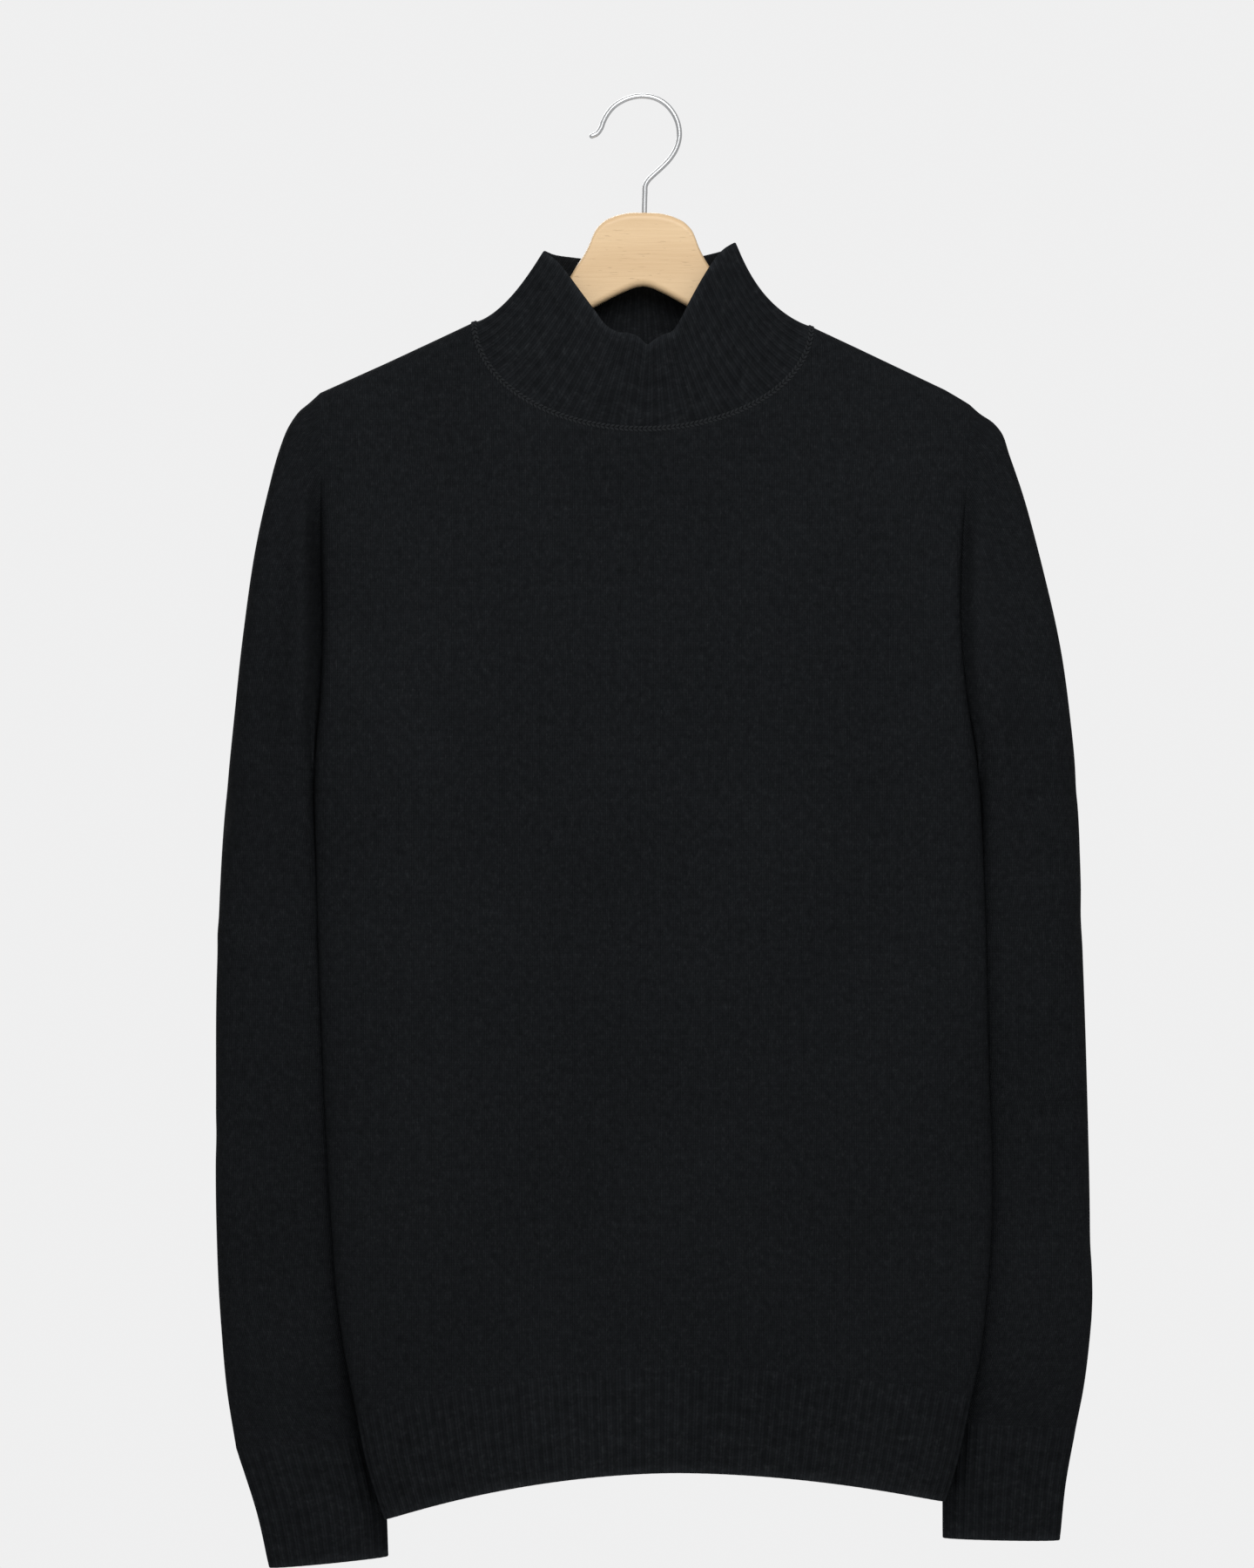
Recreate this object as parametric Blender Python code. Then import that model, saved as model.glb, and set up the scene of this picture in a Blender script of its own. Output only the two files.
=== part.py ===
"""A fine-knit turtleneck sweater hung on a wooden hanger with a wire hook.

Sizes are in millimetres and become metres when a mesh is made.  X runs to the right
as the sweater's front is looked at, Y runs from the front to the back and Z runs up.
The origin is on the inside of the hook's bend, straight above its stem, where the rail bears.
"""

import math

import bmesh
import bpy
import numpy as np

MM = 0.001

# Knitted cloth
WALL = 1.5
SEAM_GAP = 0.3
RIB_RAISE = 0.8

# Wooden hanger, symmetric about its own hook stem, and hung a little askew
HANGER_TILT = math.radians(0.9)
HANGER_THICKNESS = 12.0
HANGER_EDGE_ROUND = 5.5
ARM_SLOPE = 0.46
ARM_SEAT_DROP = 2.2
ARM_APEX_Z = -87.0
ARM_HEIGHT = 22.0
ARM_END_X = 184.0
NECK_DIP = 8.0
NECK_DIP_X = 92.0
NECK_DIP_REACH = 24.0

# Wire hook
WIRE_DIAMETER = 3.0
HOOK_RADIUS = 25.0
HOOK_CENTRE_X = -5.5
HOOK_TIP_ANGLE = math.radians(175.0)
HOOK_LEAVE_ANGLE = math.radians(-52.0)
STEM_BEND_Z = -52.0
STEM_FOOT_Z = -80.0
STEM_BORE_CLEARANCE = 0.3

# Neckline where the collar is linked on
NECK_CENTRE_X = -2.0
NECK_HALF_WIDTH = 97.0
NECK_FRONT_Z = -190.5
NECK_BACK_Z = -151.0
NECK_CORNERS = (-90.0, -81.0, -67.5, -49.5, -31.5, -13.5, 0.0, 13.5, 31.5, 49.5, 67.5, 81.0, 90.0)

# Shoulder, armhole and sides
SHOULDER_TIP_Z = -170.0
SHOULDER_ROUND = 9.0
SHOULDER_DRAPE = 90.0
UNDERARM_Z = -385.0
ARMHOLE_HALF_DEPTH = 18.0
ARMHOLE_CLOSING = 0.7
SIDE_SEAM_Y = -10.0

# Hem: the lower edge arches up between the sides
HEM_RIB_HEIGHT = 60.0
HEM_TOP_X = 17.0
HEM_TOP_Z = -788.0
HEM_SIDE_Z = -808.0
HEM_ARCH_LEFT = 0.0024
HEM_ARCH_RIGHT = 0.0018
HEM_ARCH_POWER = 1.82

COLLAR_RIBS = 80
CUFF_RIBS = 30
HEM_RIBS_EACH = 66

# Where the columns of a panel lie between the neck point and the side, and its rows
SIDE_COLUMNS = (0.22, 0.48, 0.72, 0.88, 0.965, 1.0)
ARMHOLE_ROWS = (0.0, 0.018, 0.042, 0.068, 0.13, 0.25, 0.41, 0.58, 0.75, 0.89, 1.0)
SIDE_ROWS = (0.1, 0.25, 0.42, 0.6, 0.78, 0.9, 1.0)

# The body from shoulder to hem: its side edges, and how far it stands out in the middle
BODY_COLUMNS = ("z", "left", "right", "front", "back")
BODY_SECTIONS = (
    (-170, -187.5, 186.5, -16, 14),
    (-215, -187.0, 185.0, -19, 17),
    (-265, -186.5, 183.0, -21, 19),
    (-320, -187.0, 184.0, -22, 21),
    (-385, -190.5, 190.5, -24, 23),
    (-445, -189.5, 194.0, -25, 24),
    (-545, -186.0, 196.5, -26, 25),
    (-645, -181.0, 198.5, -26, 25),
    (-690, -177.5, 195.5, -25, 24),
    (-727, -172.0, 191.0, -24, 22),
    (-750, -167.5, 186.0, -23, 21),
    (-786, -160.0, 178.0, -22, 19),
    (-820, -149.0, 167.0, -21, 18),
)

# Each sleeve ring runs from its inner point, by the body, to its outer ridge
SLEEVE_COLUMNS = ("ridge_x", "ridge_z", "inner_x", "inner_z", "ridge_y", "inner_y", "half_depth", "round")
LEFT_SLEEVE_RINGS = (
    (-193.0, -172.4, -191.8, -386.5, 0.5, -9.0, 20, 0.00),
    (-200.5, -179.5, -192.2, -389.5, 2, -6.5, 23, 0.05),
    (-206.0, -188.5, -191.8, -393.0, 4, -3.0, 26, 0.12),
    (-211.5, -202.0, -190.8, -397.5, 6, 1.0, 29, 0.22),
    (-217.5, -227.0, -189.6, -403.0, 9, 5.0, 32, 0.35),
    (-223.5, -255.0, -188.4, -410.0, 12, 9.0, 34, 0.50),
    (-231.0, -305.0, -187.4, -420.0, 16, 13.0, 35, 0.70),
    (-237.5, -365.0, -186.0, -436.0, 19, 16.0, 35, 0.88),
    (-242.5, -435.0, -183.5, -465.0, 21, 18.0, 34, 1.00),
    (-246.0, -505.0, -179.5, -515.0, 21, 19.5, 32, 1.00),
    (-246.7, -575.0, -175.0, -577.0, 21, 20.0, 30, 1.00),
    (-246.0, -645.0, -171.0, -645.0, 20, 20.0, 28, 1.00),
    (-243.5, -705.0, -167.0, -703.0, 18, 18.0, 25, 1.00),
    (-239.5, -745.0, -162.0, -739.0, 16, 16.0, 21, 1.00),
    (-235.5, -777.0, -158.0, -769.5, 14, 14.0, 15, 1.00),
)
RIGHT_SLEEVE_RINGS = (
    (192.0, -179.2, 191.8, -386.5, 0.5, -9.0, 20, 0.00),
    (198.5, -185.5, 192.2, -389.5, 2, -6.5, 23, 0.05),
    (203.5, -193.0, 192.0, -393.0, 4, -3.0, 26, 0.12),
    (208.5, -204.5, 191.4, -397.5, 6, 1.0, 29, 0.22),
    (217.0, -226.0, 190.6, -403.0, 9, 5.0, 32, 0.35),
    (225.0, -256.0, 190.2, -410.0, 12, 9.0, 34, 0.50),
    (235.0, -305.0, 190.0, -420.0, 16, 13.0, 35, 0.70),
    (242.5, -365.0, 190.0, -436.0, 19, 16.0, 35, 0.88),
    (248.0, -438.0, 190.0, -467.0, 21, 18.0, 34, 1.00),
    (250.7, -508.0, 190.0, -517.0, 21, 19.5, 32, 1.00),
    (252.8, -578.0, 190.5, -580.0, 21, 20.0, 30, 1.00),
    (254.6, -648.0, 190.0, -647.0, 20, 20.0, 28, 1.00),
    (253.8, -708.0, 184.5, -704.0, 18, 18.0, 25, 1.00),
    (250.5, -742.0, 177.0, -737.0, 16, 16.0, 21, 1.00),
    (245.5, -765.0, 171.5, -761.0, 14, 14.0, 15, 1.00),
)

# Cuff ends: the outer and inner corner of the sleeve's last ring and of the open end
CUFF_COLUMNS = ("outer_x", "outer_z", "inner_x", "inner_z", "half_depth", "y")
LEFT_CUFF = (
    (-235.5, -777.0, -158.0, -769.5, 15.0, 14.0),
    (-224.0, -812.0, -150.5, -804.0, 13.0, 14.0),
    (-216.0, -843.0, -148.5, -835.5, 12.0, 14.0),
)
RIGHT_CUFF = (
    (245.5, -765.0, 171.5, -761.0, 15.0, 14.0),
    (240.5, -796.0, 170.5, -795.0, 13.0, 14.0),
    (237.5, -826.5, 170.5, -825.5, 12.0, 14.0),
)

# The collar's upper edge, by the angle around the neck from the middle of the front
COLLAR_COLUMNS = ("degrees", "x", "y", "z")
COLLAR_TOP = (
    (-180, -3.0, 21.0, -92.5),
    (-150, -24.0, 19.0, -92.5),
    (-120, -42.0, 13.0, -91.5),
    (-100, -54.5, 5.0, -90.5),
    (-90, -58.5, -1.0, -90.5),
    (-75, -50.0, -8.0, -95.0),
    (-50, -35.0, -15.0, -112.0),
    (-28, -21.5, -19.0, -131.0),
    (-13, -11.0, -21.0, -134.5),
    (0, 1.0, -24.0, -140.5),
    (11, 10.5, -21.0, -135.0),
    (25, 18.0, -19.0, -129.5),
    (50, 31.5, -15.0, -107.0),
    (75, 44.5, -8.0, -88.5),
    (90, 51.5, -1.0, -84.5),
    (100, 48.0, 5.0, -86.0),
    (120, 36.0, 13.0, -89.5),
    (150, 18.0, 19.0, -91.5),
    (180, -3.0, 21.0, -92.5),
)
COLLAR_FLARE_DROP = 8.0
COLLAR_FLARE_IN = 9.0
COLLAR_FLARE_SHARE = 0.4
COLLAR_LEVELS = (1.0, 0.6, 0.28, 0.0)

KNIT_COLOUR = (0.014, 0.015, 0.018, 1.0)
WOOD_COLOUR = (0.62, 0.44, 0.27, 1.0)
STEEL_COLOUR = (0.62, 0.62, 0.62, 1.0)


def clear_scene():
    for thing in list(bpy.data.objects):
        bpy.data.objects.remove(thing, do_unlink=True)


def new_collection(name):
    made = bpy.data.collections.new(name)
    bpy.context.scene.collection.children.link(made)
    return made


def plain_material(name, colour, roughness, metallic):
    material = bpy.data.materials.new(name)
    material.use_nodes = True
    shader = material.node_tree.nodes["Principled BSDF"]
    shader.inputs["Base Color"].default_value = colour
    shader.inputs["Roughness"].default_value = roughness
    shader.inputs["Metallic"].default_value = metallic
    material.diffuse_color = colour
    return material


def mix(low, high, share):
    return low + (high - low) * share


def ease(share):
    """Smooth rise from 0 to 1."""
    held = min(max(share, 0.0), 1.0)
    return held * held * (3.0 - 2.0 * held)


def column(names, rows, name):
    return np.array([row[names.index(name)] for row in rows], dtype=float)


def through(keys, values, at):
    """A smooth curve through a table's rows, keys rising."""
    at = min(max(at, keys[0]), keys[-1])
    slopes = np.gradient(values, keys)
    row = min(max(int(np.searchsorted(keys, at)) - 1, 0), len(keys) - 2)
    span = keys[row + 1] - keys[row]
    share = (at - keys[row]) / span
    square = share * share
    cube = square * share
    return (
        (2 * cube - 3 * square + 1) * values[row]
        + (cube - 2 * square + share) * span * slopes[row]
        + (3 * square - 2 * cube) * values[row + 1]
        + (cube - square) * span * slopes[row + 1]
    )


def unit(vector):
    return vector / np.linalg.norm(vector)


# ---------------------------------------------------------------- the body's form


def body_size(name, z):
    keys = column(BODY_COLUMNS, BODY_SECTIONS, "z")[::-1]
    values = column(BODY_COLUMNS, BODY_SECTIONS, name)[::-1]
    return through(keys, values, z)


def side_x(across, z):
    """X of a share of the way from the middle to the left (-1) or right (1) edge."""
    edge = body_size("left" if across < 0 else "right", z)
    return abs(across) * edge


def shoulder_z(x):
    """Height of the ridge where the cloth lies over the tilted hanger."""
    apex_x = ARM_APEX_Z * math.sin(HANGER_TILT)
    turn = HANGER_TILT if x > apex_x else -HANGER_TILT
    slope = math.tan(math.atan(ARM_SLOPE) + turn)
    return ARM_APEX_Z - slope * abs(x - apex_x)


def hem_edge_z(x):
    arch = HEM_ARCH_LEFT if x < HEM_TOP_X else HEM_ARCH_RIGHT
    return HEM_TOP_Z - arch * abs(x - HEM_TOP_X) ** HEM_ARCH_POWER


def side_edge_y(face, z, shoulder_tip_z):
    """Y of the panel's edge: open round the armhole, closed along the side seam."""
    down = (shoulder_tip_z - z) / (shoulder_tip_z - UNDERARM_Z)
    if down >= 1.0:
        return SIDE_SEAM_Y
    middle = SIDE_SEAM_Y * ease(down)
    half = mix(SHOULDER_ROUND, ARMHOLE_HALF_DEPTH, math.sin(math.pi * down))
    closing = max(0.0, (down - ARMHOLE_CLOSING) / (1.0 - ARMHOLE_CLOSING))
    return middle + face * half * math.sqrt(1.0 - closing * closing)


def fullness(across, z):
    """How far out the panel stands at a share of its half width, from 1 to 0."""
    below = ease((UNDERARM_Z + 60.0 - z) / 110.0)
    power = mix(7.0, 3.2, below)
    bend = mix(1.0, 0.5, below)
    return max(0.0, 1.0 - abs(across) ** power) ** bend


def ridge_path(along):
    """Drop below the shoulder ridge and run away from it, by distance over the cloth."""
    quarter = SHOULDER_ROUND * math.pi / 2
    if along < quarter:
        angle = along / SHOULDER_ROUND
        return SHOULDER_ROUND * (1 - math.cos(angle)), SHOULDER_ROUND * math.sin(angle)
    return SHOULDER_ROUND + along - quarter, SHOULDER_ROUND


def along_for_drop(drop):
    if drop < SHOULDER_ROUND:
        return SHOULDER_ROUND * math.acos(1 - drop / SHOULDER_ROUND)
    return drop - SHOULDER_ROUND + SHOULDER_ROUND * math.pi / 2


def body_point(face, across, along):
    """Outer surface of the front (face -1) or back (face 1) panel."""
    drop, away = ridge_path(along)
    z = shoulder_z(side_x(across, SHOULDER_TIP_Z)) - drop
    tip_z = shoulder_z(side_x(math.copysign(1.0, across), SHOULDER_TIP_Z))
    edge = side_edge_y(face, z, tip_z)
    middle = body_size("front" if face < 0 else "back", z)
    standing = mix(edge, middle, fullness(across, z))
    hang = ease((drop - SHOULDER_ROUND) / SHOULDER_DRAPE)
    y = mix(face * away, standing, hang)
    if abs(across) == 1.0 or drop == 0.0:
        y += face * SEAM_GAP / 2
    return np.array([side_x(across, z), y, z])


def neck_angle_point(degrees):
    """X and height of the neckline at an angle round the neck from the front's middle."""
    turn = math.radians(degrees)
    x = NECK_CENTRE_X + NECK_HALF_WIDTH * math.sin(turn)
    side_z = shoulder_z(NECK_CENTRE_X + math.copysign(NECK_HALF_WIDTH, math.sin(turn)))
    low = NECK_FRONT_Z if math.cos(turn) > 0 else NECK_BACK_Z
    return x, mix(side_z, low, abs(math.cos(turn)))


def panel_columns():
    """Shares across a panel, left to right, with the neckline angle of the neck's columns."""
    shares = []
    for degrees in NECK_CORNERS:
        x, _ = neck_angle_point(degrees)
        shares.append((x / abs(side_x(math.copysign(1.0, x), SHOULDER_TIP_Z)), degrees))
    left = [(mix(shares[0][0], -1.0, out), None) for out in reversed(SIDE_COLUMNS)]
    right = [(mix(shares[-1][0], 1.0, out), None) for out in SIDE_COLUMNS]
    return left + shares + right


def along_at_height(across, z):
    return along_for_drop(shoulder_z(side_x(across, SHOULDER_TIP_Z)) - z)


def panel_grid(face):
    """Rows from the top edge down, columns counter-clockwise as seen from above."""
    columns = panel_columns()
    if face > 0:
        columns = columns[::-1]
    grid = []
    for share in ARMHOLE_ROWS:
        row = []
        for across, degrees in columns:
            start = 0.0
            if degrees is not None:
                angle = degrees if face < 0 else 180.0 - degrees
                start = along_at_height(across, neck_angle_point(angle)[1])
            under = along_at_height(across, UNDERARM_Z)
            row.append(body_point(face, across, mix(start, under, share)))
        grid.append(row)
    for share in SIDE_ROWS:
        row = []
        for across, _ in columns:
            under = along_at_height(across, UNDERARM_Z)
            seam_z = hem_edge_z(side_x(across, HEM_SIDE_Z)) + HEM_RIB_HEIGHT
            end = along_at_height(across, seam_z)
            row.append(body_point(face, across, mix(under, end, share)))
        grid.append(row)
    return np.array(grid)


def outward(grid, closed):
    """Outward unit normals of a grid of points."""
    down = np.gradient(grid, axis=0)
    if closed:
        round_way = np.roll(grid, -1, axis=1) - np.roll(grid, 1, axis=1)
    else:
        round_way = np.gradient(grid, axis=1)
    normals = np.cross(down, round_way)
    return normals / np.linalg.norm(normals, axis=2, keepdims=True)


def flatten(normals, direction):
    """Normals turned into the plane of a rim that faces the direction."""
    facing = unit(np.array(direction, dtype=float))
    turned = normals - np.outer(normals @ facing, facing)
    return turned / np.linalg.norm(turned, axis=1, keepdims=True)


def neck_normal(degrees):
    """Direction of the wall's thickness at the neckline seam."""
    turn = math.radians(degrees)
    side = math.sin(turn)
    lean = math.atan(ARM_SLOPE)
    return unit(np.array([math.sin(lean) * side ** 3, -math.cos(turn), math.cos(lean) * side ** 2]))


def panel_normals(grid, face):
    normals = outward(grid, closed=False)
    columns = panel_columns()
    if face > 0:
        columns = columns[::-1]
    last_armhole = len(ARMHOLE_ROWS) - 1
    for place, (_, degrees) in enumerate(columns):
        if degrees is None:
            normals[0, place] = flatten(normals[0, place:place + 1], (0, 1, 0))[0]
        else:
            angle = degrees if face < 0 else 180.0 - degrees
            normals[0, place] = neck_normal(angle)
    for edge in (0, -1):
        normals[last_armhole:, edge] = flatten(normals[last_armhole:, edge], (0, 1, 0))
    normals[-1] = flatten(normals[-1], (0, 0, 1))
    return normals


# ---------------------------------------------------------------- making solids


def wall_object(name, outer, inner, closed, material, group):
    """A closed wall between two grids of points of the same size."""
    rows, places = outer.shape[:2]
    mesh = bmesh.new()
    skins = []
    for grid in (outer, inner):
        skins.append([[mesh.verts.new(point * MM) for point in row] for row in grid])
    spans = places if closed else places - 1
    for skin in skins:
        for row in range(rows - 1):
            for place in range(spans):
                beside = (place + 1) % places
                mesh.faces.new((skin[row][place], skin[row][beside],
                                skin[row + 1][beside], skin[row + 1][place]))
    out, inn = skins
    for row in (0, rows - 1):
        for place in range(spans):
            beside = (place + 1) % places
            mesh.faces.new((out[row][place], out[row][beside], inn[row][beside], inn[row][place]))
    if not closed:
        for place in (0, places - 1):
            for row in range(rows - 1):
                mesh.faces.new((out[row][place], out[row + 1][place],
                                inn[row + 1][place], inn[row][place]))
    bmesh.ops.recalc_face_normals(mesh, faces=mesh.faces)
    data = bpy.data.meshes.new(name)
    mesh.to_mesh(data)
    mesh.free()
    data.materials.append(material)
    data.shade_smooth()
    data.set_sharp_from_angle(angle=math.radians(50))
    made = bpy.data.objects.new(name, data)
    group.objects.link(made)
    return made


def make_panel(name, face, material, group):
    outer = panel_grid(face)
    inner = outer - WALL * panel_normals(outer, face)
    return wall_object(name, outer, inner, False, material, group)


# ---------------------------------------------------------------- sleeves and cuffs


def armhole_loop(side):
    """The body's armhole edge, from the underarm round the back or front to it again."""
    across = float(side)
    under = along_at_height(across, UNDERARM_Z)
    edges = {}
    for face in (-1, 1):
        edges[face] = [body_point(face, across, share * under) for share in ARMHOLE_ROWS]
    first = 1 if side < 0 else -1
    loop = [(edges[-1][-1] + edges[1][-1]) / 2]
    loop += edges[first][-2:0:-1]
    loop += [(edges[-1][0] + edges[1][0]) / 2]
    loop += edges[-first][1:-1]
    return np.array(loop), first


def sleeve_grid(side, rings):
    loop, first = armhole_loop(side)
    count = len(loop)
    foot, tip = loop[0], loop[count // 2]
    rise = (loop[:, 2] - foot[2]) / (tip[2] - foot[2])
    middle = np.array([mix(foot[1], tip[1], share) for share in rise])
    spread = (loop[:, 1] - middle) / ARMHOLE_HALF_DEPTH
    grid = [loop + np.array([side * SEAM_GAP, 0.0, 0.0])]
    for row in rings:
        ring = dict(zip(SLEEVE_COLUMNS, row))
        points = []
        for place in range(count):
            turn = 2 * math.pi * place / count
            share = mix(rise[place], (1 - math.cos(turn)) / 2, ring["round"])
            out = mix(spread[place], first * math.sin(turn), ring["round"])
            points.append([
                mix(ring["inner_x"], ring["ridge_x"], share),
                mix(ring["inner_y"], ring["ridge_y"], share) + ring["half_depth"] * out,
                mix(ring["inner_z"], ring["ridge_z"], share),
            ])
        grid.append(np.array(points))
    return np.array(grid)


def make_sleeve(name, side, rings, material, group):
    outer = sleeve_grid(side, rings)
    normals = outward(outer, closed=True)
    normals[0] = flatten(normals[0], (1, 0, 0))
    last = dict(zip(SLEEVE_COLUMNS, rings[-1]))
    chord = np.array([last["ridge_x"] - last["inner_x"], 0, last["ridge_z"] - last["inner_z"]])
    normals[-1] = flatten(normals[-1], np.cross(chord, (0, 1, 0)))
    return wall_object(name, outer, outer - WALL * normals, True, material, group)


def even_turns(count, half_width, half_depth):
    """Angles that part an ellipse into equal lengths."""
    fine = np.linspace(0, 2 * math.pi, 721)
    path = np.stack([half_width * np.cos(fine), half_depth * np.sin(fine)], axis=1)
    lengths = np.concatenate([[0], np.cumsum(np.linalg.norm(np.diff(path, axis=0), axis=1))])
    return np.interp(np.arange(count) * lengths[-1] / count, lengths, fine)


def rib_raise(places):
    """Every second point of a ribbed wall stands out."""
    return np.array([RIB_RAISE if place % 2 else 0.0 for place in range(places)])


def make_cuff(name, ends, material, group):
    rows = [dict(zip(CUFF_COLUMNS, row)) for row in ends]
    width = abs(rows[0]["outer_x"] - rows[0]["inner_x"]) / 2
    turns = even_turns(2 * CUFF_RIBS, width, rows[0]["half_depth"])
    grid = []
    rims = []
    for row in rows:
        centre = np.array([(row["outer_x"] + row["inner_x"]) / 2, row["y"],
                           (row["outer_z"] + row["inner_z"]) / 2])
        right = np.array([abs(row["outer_x"] - row["inner_x"]) / 2, 0,
                          math.copysign(1, row["outer_x"]) * (row["outer_z"] - row["inner_z"]) / 2])
        rims.append(np.cross(right, (0, 1, 0)))
        grid.append([centre + right * math.cos(turn) + np.array([0, row["half_depth"] * math.sin(turn), 0])
                     for turn in turns])
    outer = np.array(grid)
    outer[0] -= SEAM_GAP * unit(rims[0])
    normals = outward(outer, closed=True)
    normals[0] = flatten(normals[0], rims[0])
    normals[-1] = flatten(normals[-1], rims[-1])
    inner = outer - WALL * normals
    outer = outer + normals * rib_raise(len(turns))[None, :, None]
    return wall_object(name, outer, inner, True, material, group)


# ---------------------------------------------------------------- hem and collar


def hem_shares(face):
    """Shares across the hem that part its length evenly into ribs."""
    fine = np.linspace(-1, 1, 801)
    level = HEM_TOP_Z + HEM_RIB_HEIGHT / 2
    path = np.array([body_point(face, share, along_at_height(share, level))[:2] for share in fine])
    lengths = np.concatenate([[0], np.cumsum(np.linalg.norm(np.diff(path, axis=0), axis=1))])
    even = np.interp(np.linspace(0, lengths[-1], 2 * HEM_RIBS_EACH + 1), lengths, fine)
    even[0], even[-1] = -1.0, 1.0
    return even if face < 0 else even[::-1]


def make_hem(name, face, material, group):
    shares = hem_shares(face)
    grid = []
    for level in (HEM_RIB_HEIGHT - SEAM_GAP, HEM_RIB_HEIGHT / 2, 0.0):
        row = []
        for share in shares:
            z = hem_edge_z(side_x(share, HEM_SIDE_Z)) + level
            row.append(body_point(face, share, along_at_height(share, z)))
        grid.append(row)
    outer = np.array(grid)
    normals = outward(outer, closed=False)
    for edge in (0, -1):
        normals[:, edge] = flatten(normals[:, edge], (0, 1, 0))
    for edge in (0, -1):
        normals[edge] = flatten(normals[edge], (0, 0, 1))
    inner = outer - WALL * normals
    outer = outer + normals * rib_raise(len(shares))[None, :, None]
    return wall_object(name, outer, inner, False, material, group)


def neck_ring():
    """Corners of the neckline seam: angle, point and the wall's direction."""
    columns = [(across, degrees) for across, degrees in panel_columns() if degrees is not None]
    ring = []
    for face in (-1, 1):
        ordered = columns if face < 0 else columns[::-1]
        for across, degrees in ordered[:-1]:
            angle = degrees if face < 0 else 180.0 - degrees
            start = along_at_height(across, neck_angle_point(angle)[1])
            point = body_point(face, across, start)
            ring.append((angle, point, neck_normal(angle)))
    return ring


def make_collar(name, material, group):
    ring = neck_ring()
    spacing = 180.0 / COLLAR_RIBS
    keys = column(COLLAR_COLUMNS, COLLAR_TOP, "degrees")
    tops = {axis: column(COLLAR_COLUMNS, COLLAR_TOP, axis) for axis in "xyz"}
    base, base_normals, top, bend = [], [], [], []
    for corner, (angle, point, normal) in enumerate(ring):
        next_angle, next_point, next_normal = ring[(corner + 1) % len(ring)]
        span = (next_angle - angle) % 360.0
        for step in range(round(span / spacing)):
            share = step * spacing / span
            wrapped = (angle + share * span + 180.0) % 360.0 - 180.0
            foot = mix(point, next_point, share)
            head = np.array([through(keys, tops[axis], wrapped) for axis in "xyz"])
            sideways = math.sin(math.radians(wrapped))
            pull = np.array([COLLAR_FLARE_IN * math.copysign(1, sideways), 0, COLLAR_FLARE_DROP])
            knee = mix(foot, head, COLLAR_FLARE_SHARE) - pull * sideways ** 2
            base.append(foot + SEAM_GAP * unit(knee - foot))
            base_normals.append(unit(mix(normal, next_normal, share)))
            top.append(head)
            bend.append(knee)
    base, top, bend = np.array(base), np.array(top), np.array(bend)
    levels = [(1 - rise) ** 2 * base + 2 * rise * (1 - rise) * bend + rise ** 2 * top
              for rise in COLLAR_LEVELS]
    outer = np.array(levels)
    normals = outward(outer, closed=True)
    normals[-1] = np.array(base_normals)
    inner = outer - WALL * normals
    outer = outer + normals * rib_raise(len(base))[None, :, None]
    return wall_object(name, outer, inner, True, material, group)


# ---------------------------------------------------------------- hanger and hook


def arm_top_z(x):
    """Top of the arm, just under the cloth's ridge and dipping clear of the neckline."""
    seat = ARM_APEX_Z - ARM_SEAT_DROP / math.cos(math.atan(ARM_SLOPE)) - ARM_SLOPE * x
    return seat - NECK_DIP * math.exp(-((x - NECK_DIP_X) / NECK_DIP_REACH) ** 2)


def hanger_half_outline():
    """Right half of the wood's outline, from the top over the arm to the underside's middle."""
    head = [(0.0, -65.5), (9.0, -65.9), (18.0, -69.2), (27.0, -76.5), (34.0, -87.0),
            (38.5, -96.5), (43.0, -104.5), (50.0, -110.8)]
    arm_stations = np.linspace(60.0, ARM_END_X - 6.0, 11)
    arm = [(x, arm_top_z(x)) for x in arm_stations]
    end = [(ARM_END_X - 1.5, arm_top_z(ARM_END_X)), (ARM_END_X, arm_top_z(ARM_END_X) - 5.0),
           (ARM_END_X - 3.0, arm_top_z(ARM_END_X) - 11.0), (ARM_END_X - 11.0, arm_top_z(ARM_END_X) - 14.0)]
    under_stations = np.linspace(ARM_END_X - 26.0, 60.0, 9)
    under = [(x, arm_top_z(x) - ARM_HEIGHT) for x in under_stations]
    arch = [(42.0, -128.5), (30.0, -120.5), (20.0, -114.6), (10.0, -111.2), (0.0, -110.0)]
    return head + arm + end + under + arch


def inset_outline(points, distance):
    """A closed clockwise outline moved inward by a distance."""
    path = np.array(points)
    ahead = np.roll(path, -1, axis=0) - np.roll(path, 1, axis=0)
    ahead /= np.linalg.norm(ahead, axis=1, keepdims=True)
    inward = np.stack([ahead[:, 1], -ahead[:, 0]], axis=1)
    return path + inward * distance


def mesh_from_curve(curve_object, group):
    """The curve's evaluated mesh as an object of its own, with its caps welded."""
    bpy.context.view_layer.update()
    evaluated = curve_object.evaluated_get(bpy.context.evaluated_depsgraph_get())
    data = bpy.data.meshes.new_from_object(evaluated)
    mesh = bmesh.new()
    mesh.from_mesh(data)
    bmesh.ops.remove_doubles(mesh, verts=mesh.verts, dist=0.00001)
    mesh.to_mesh(data)
    mesh.free()
    made = bpy.data.objects.new(curve_object.name, data)
    made.matrix_world = curve_object.matrix_world
    name = curve_object.name
    group.objects.link(made)
    bpy.data.objects.remove(curve_object, do_unlink=True)
    made.name = name
    return made


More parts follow.
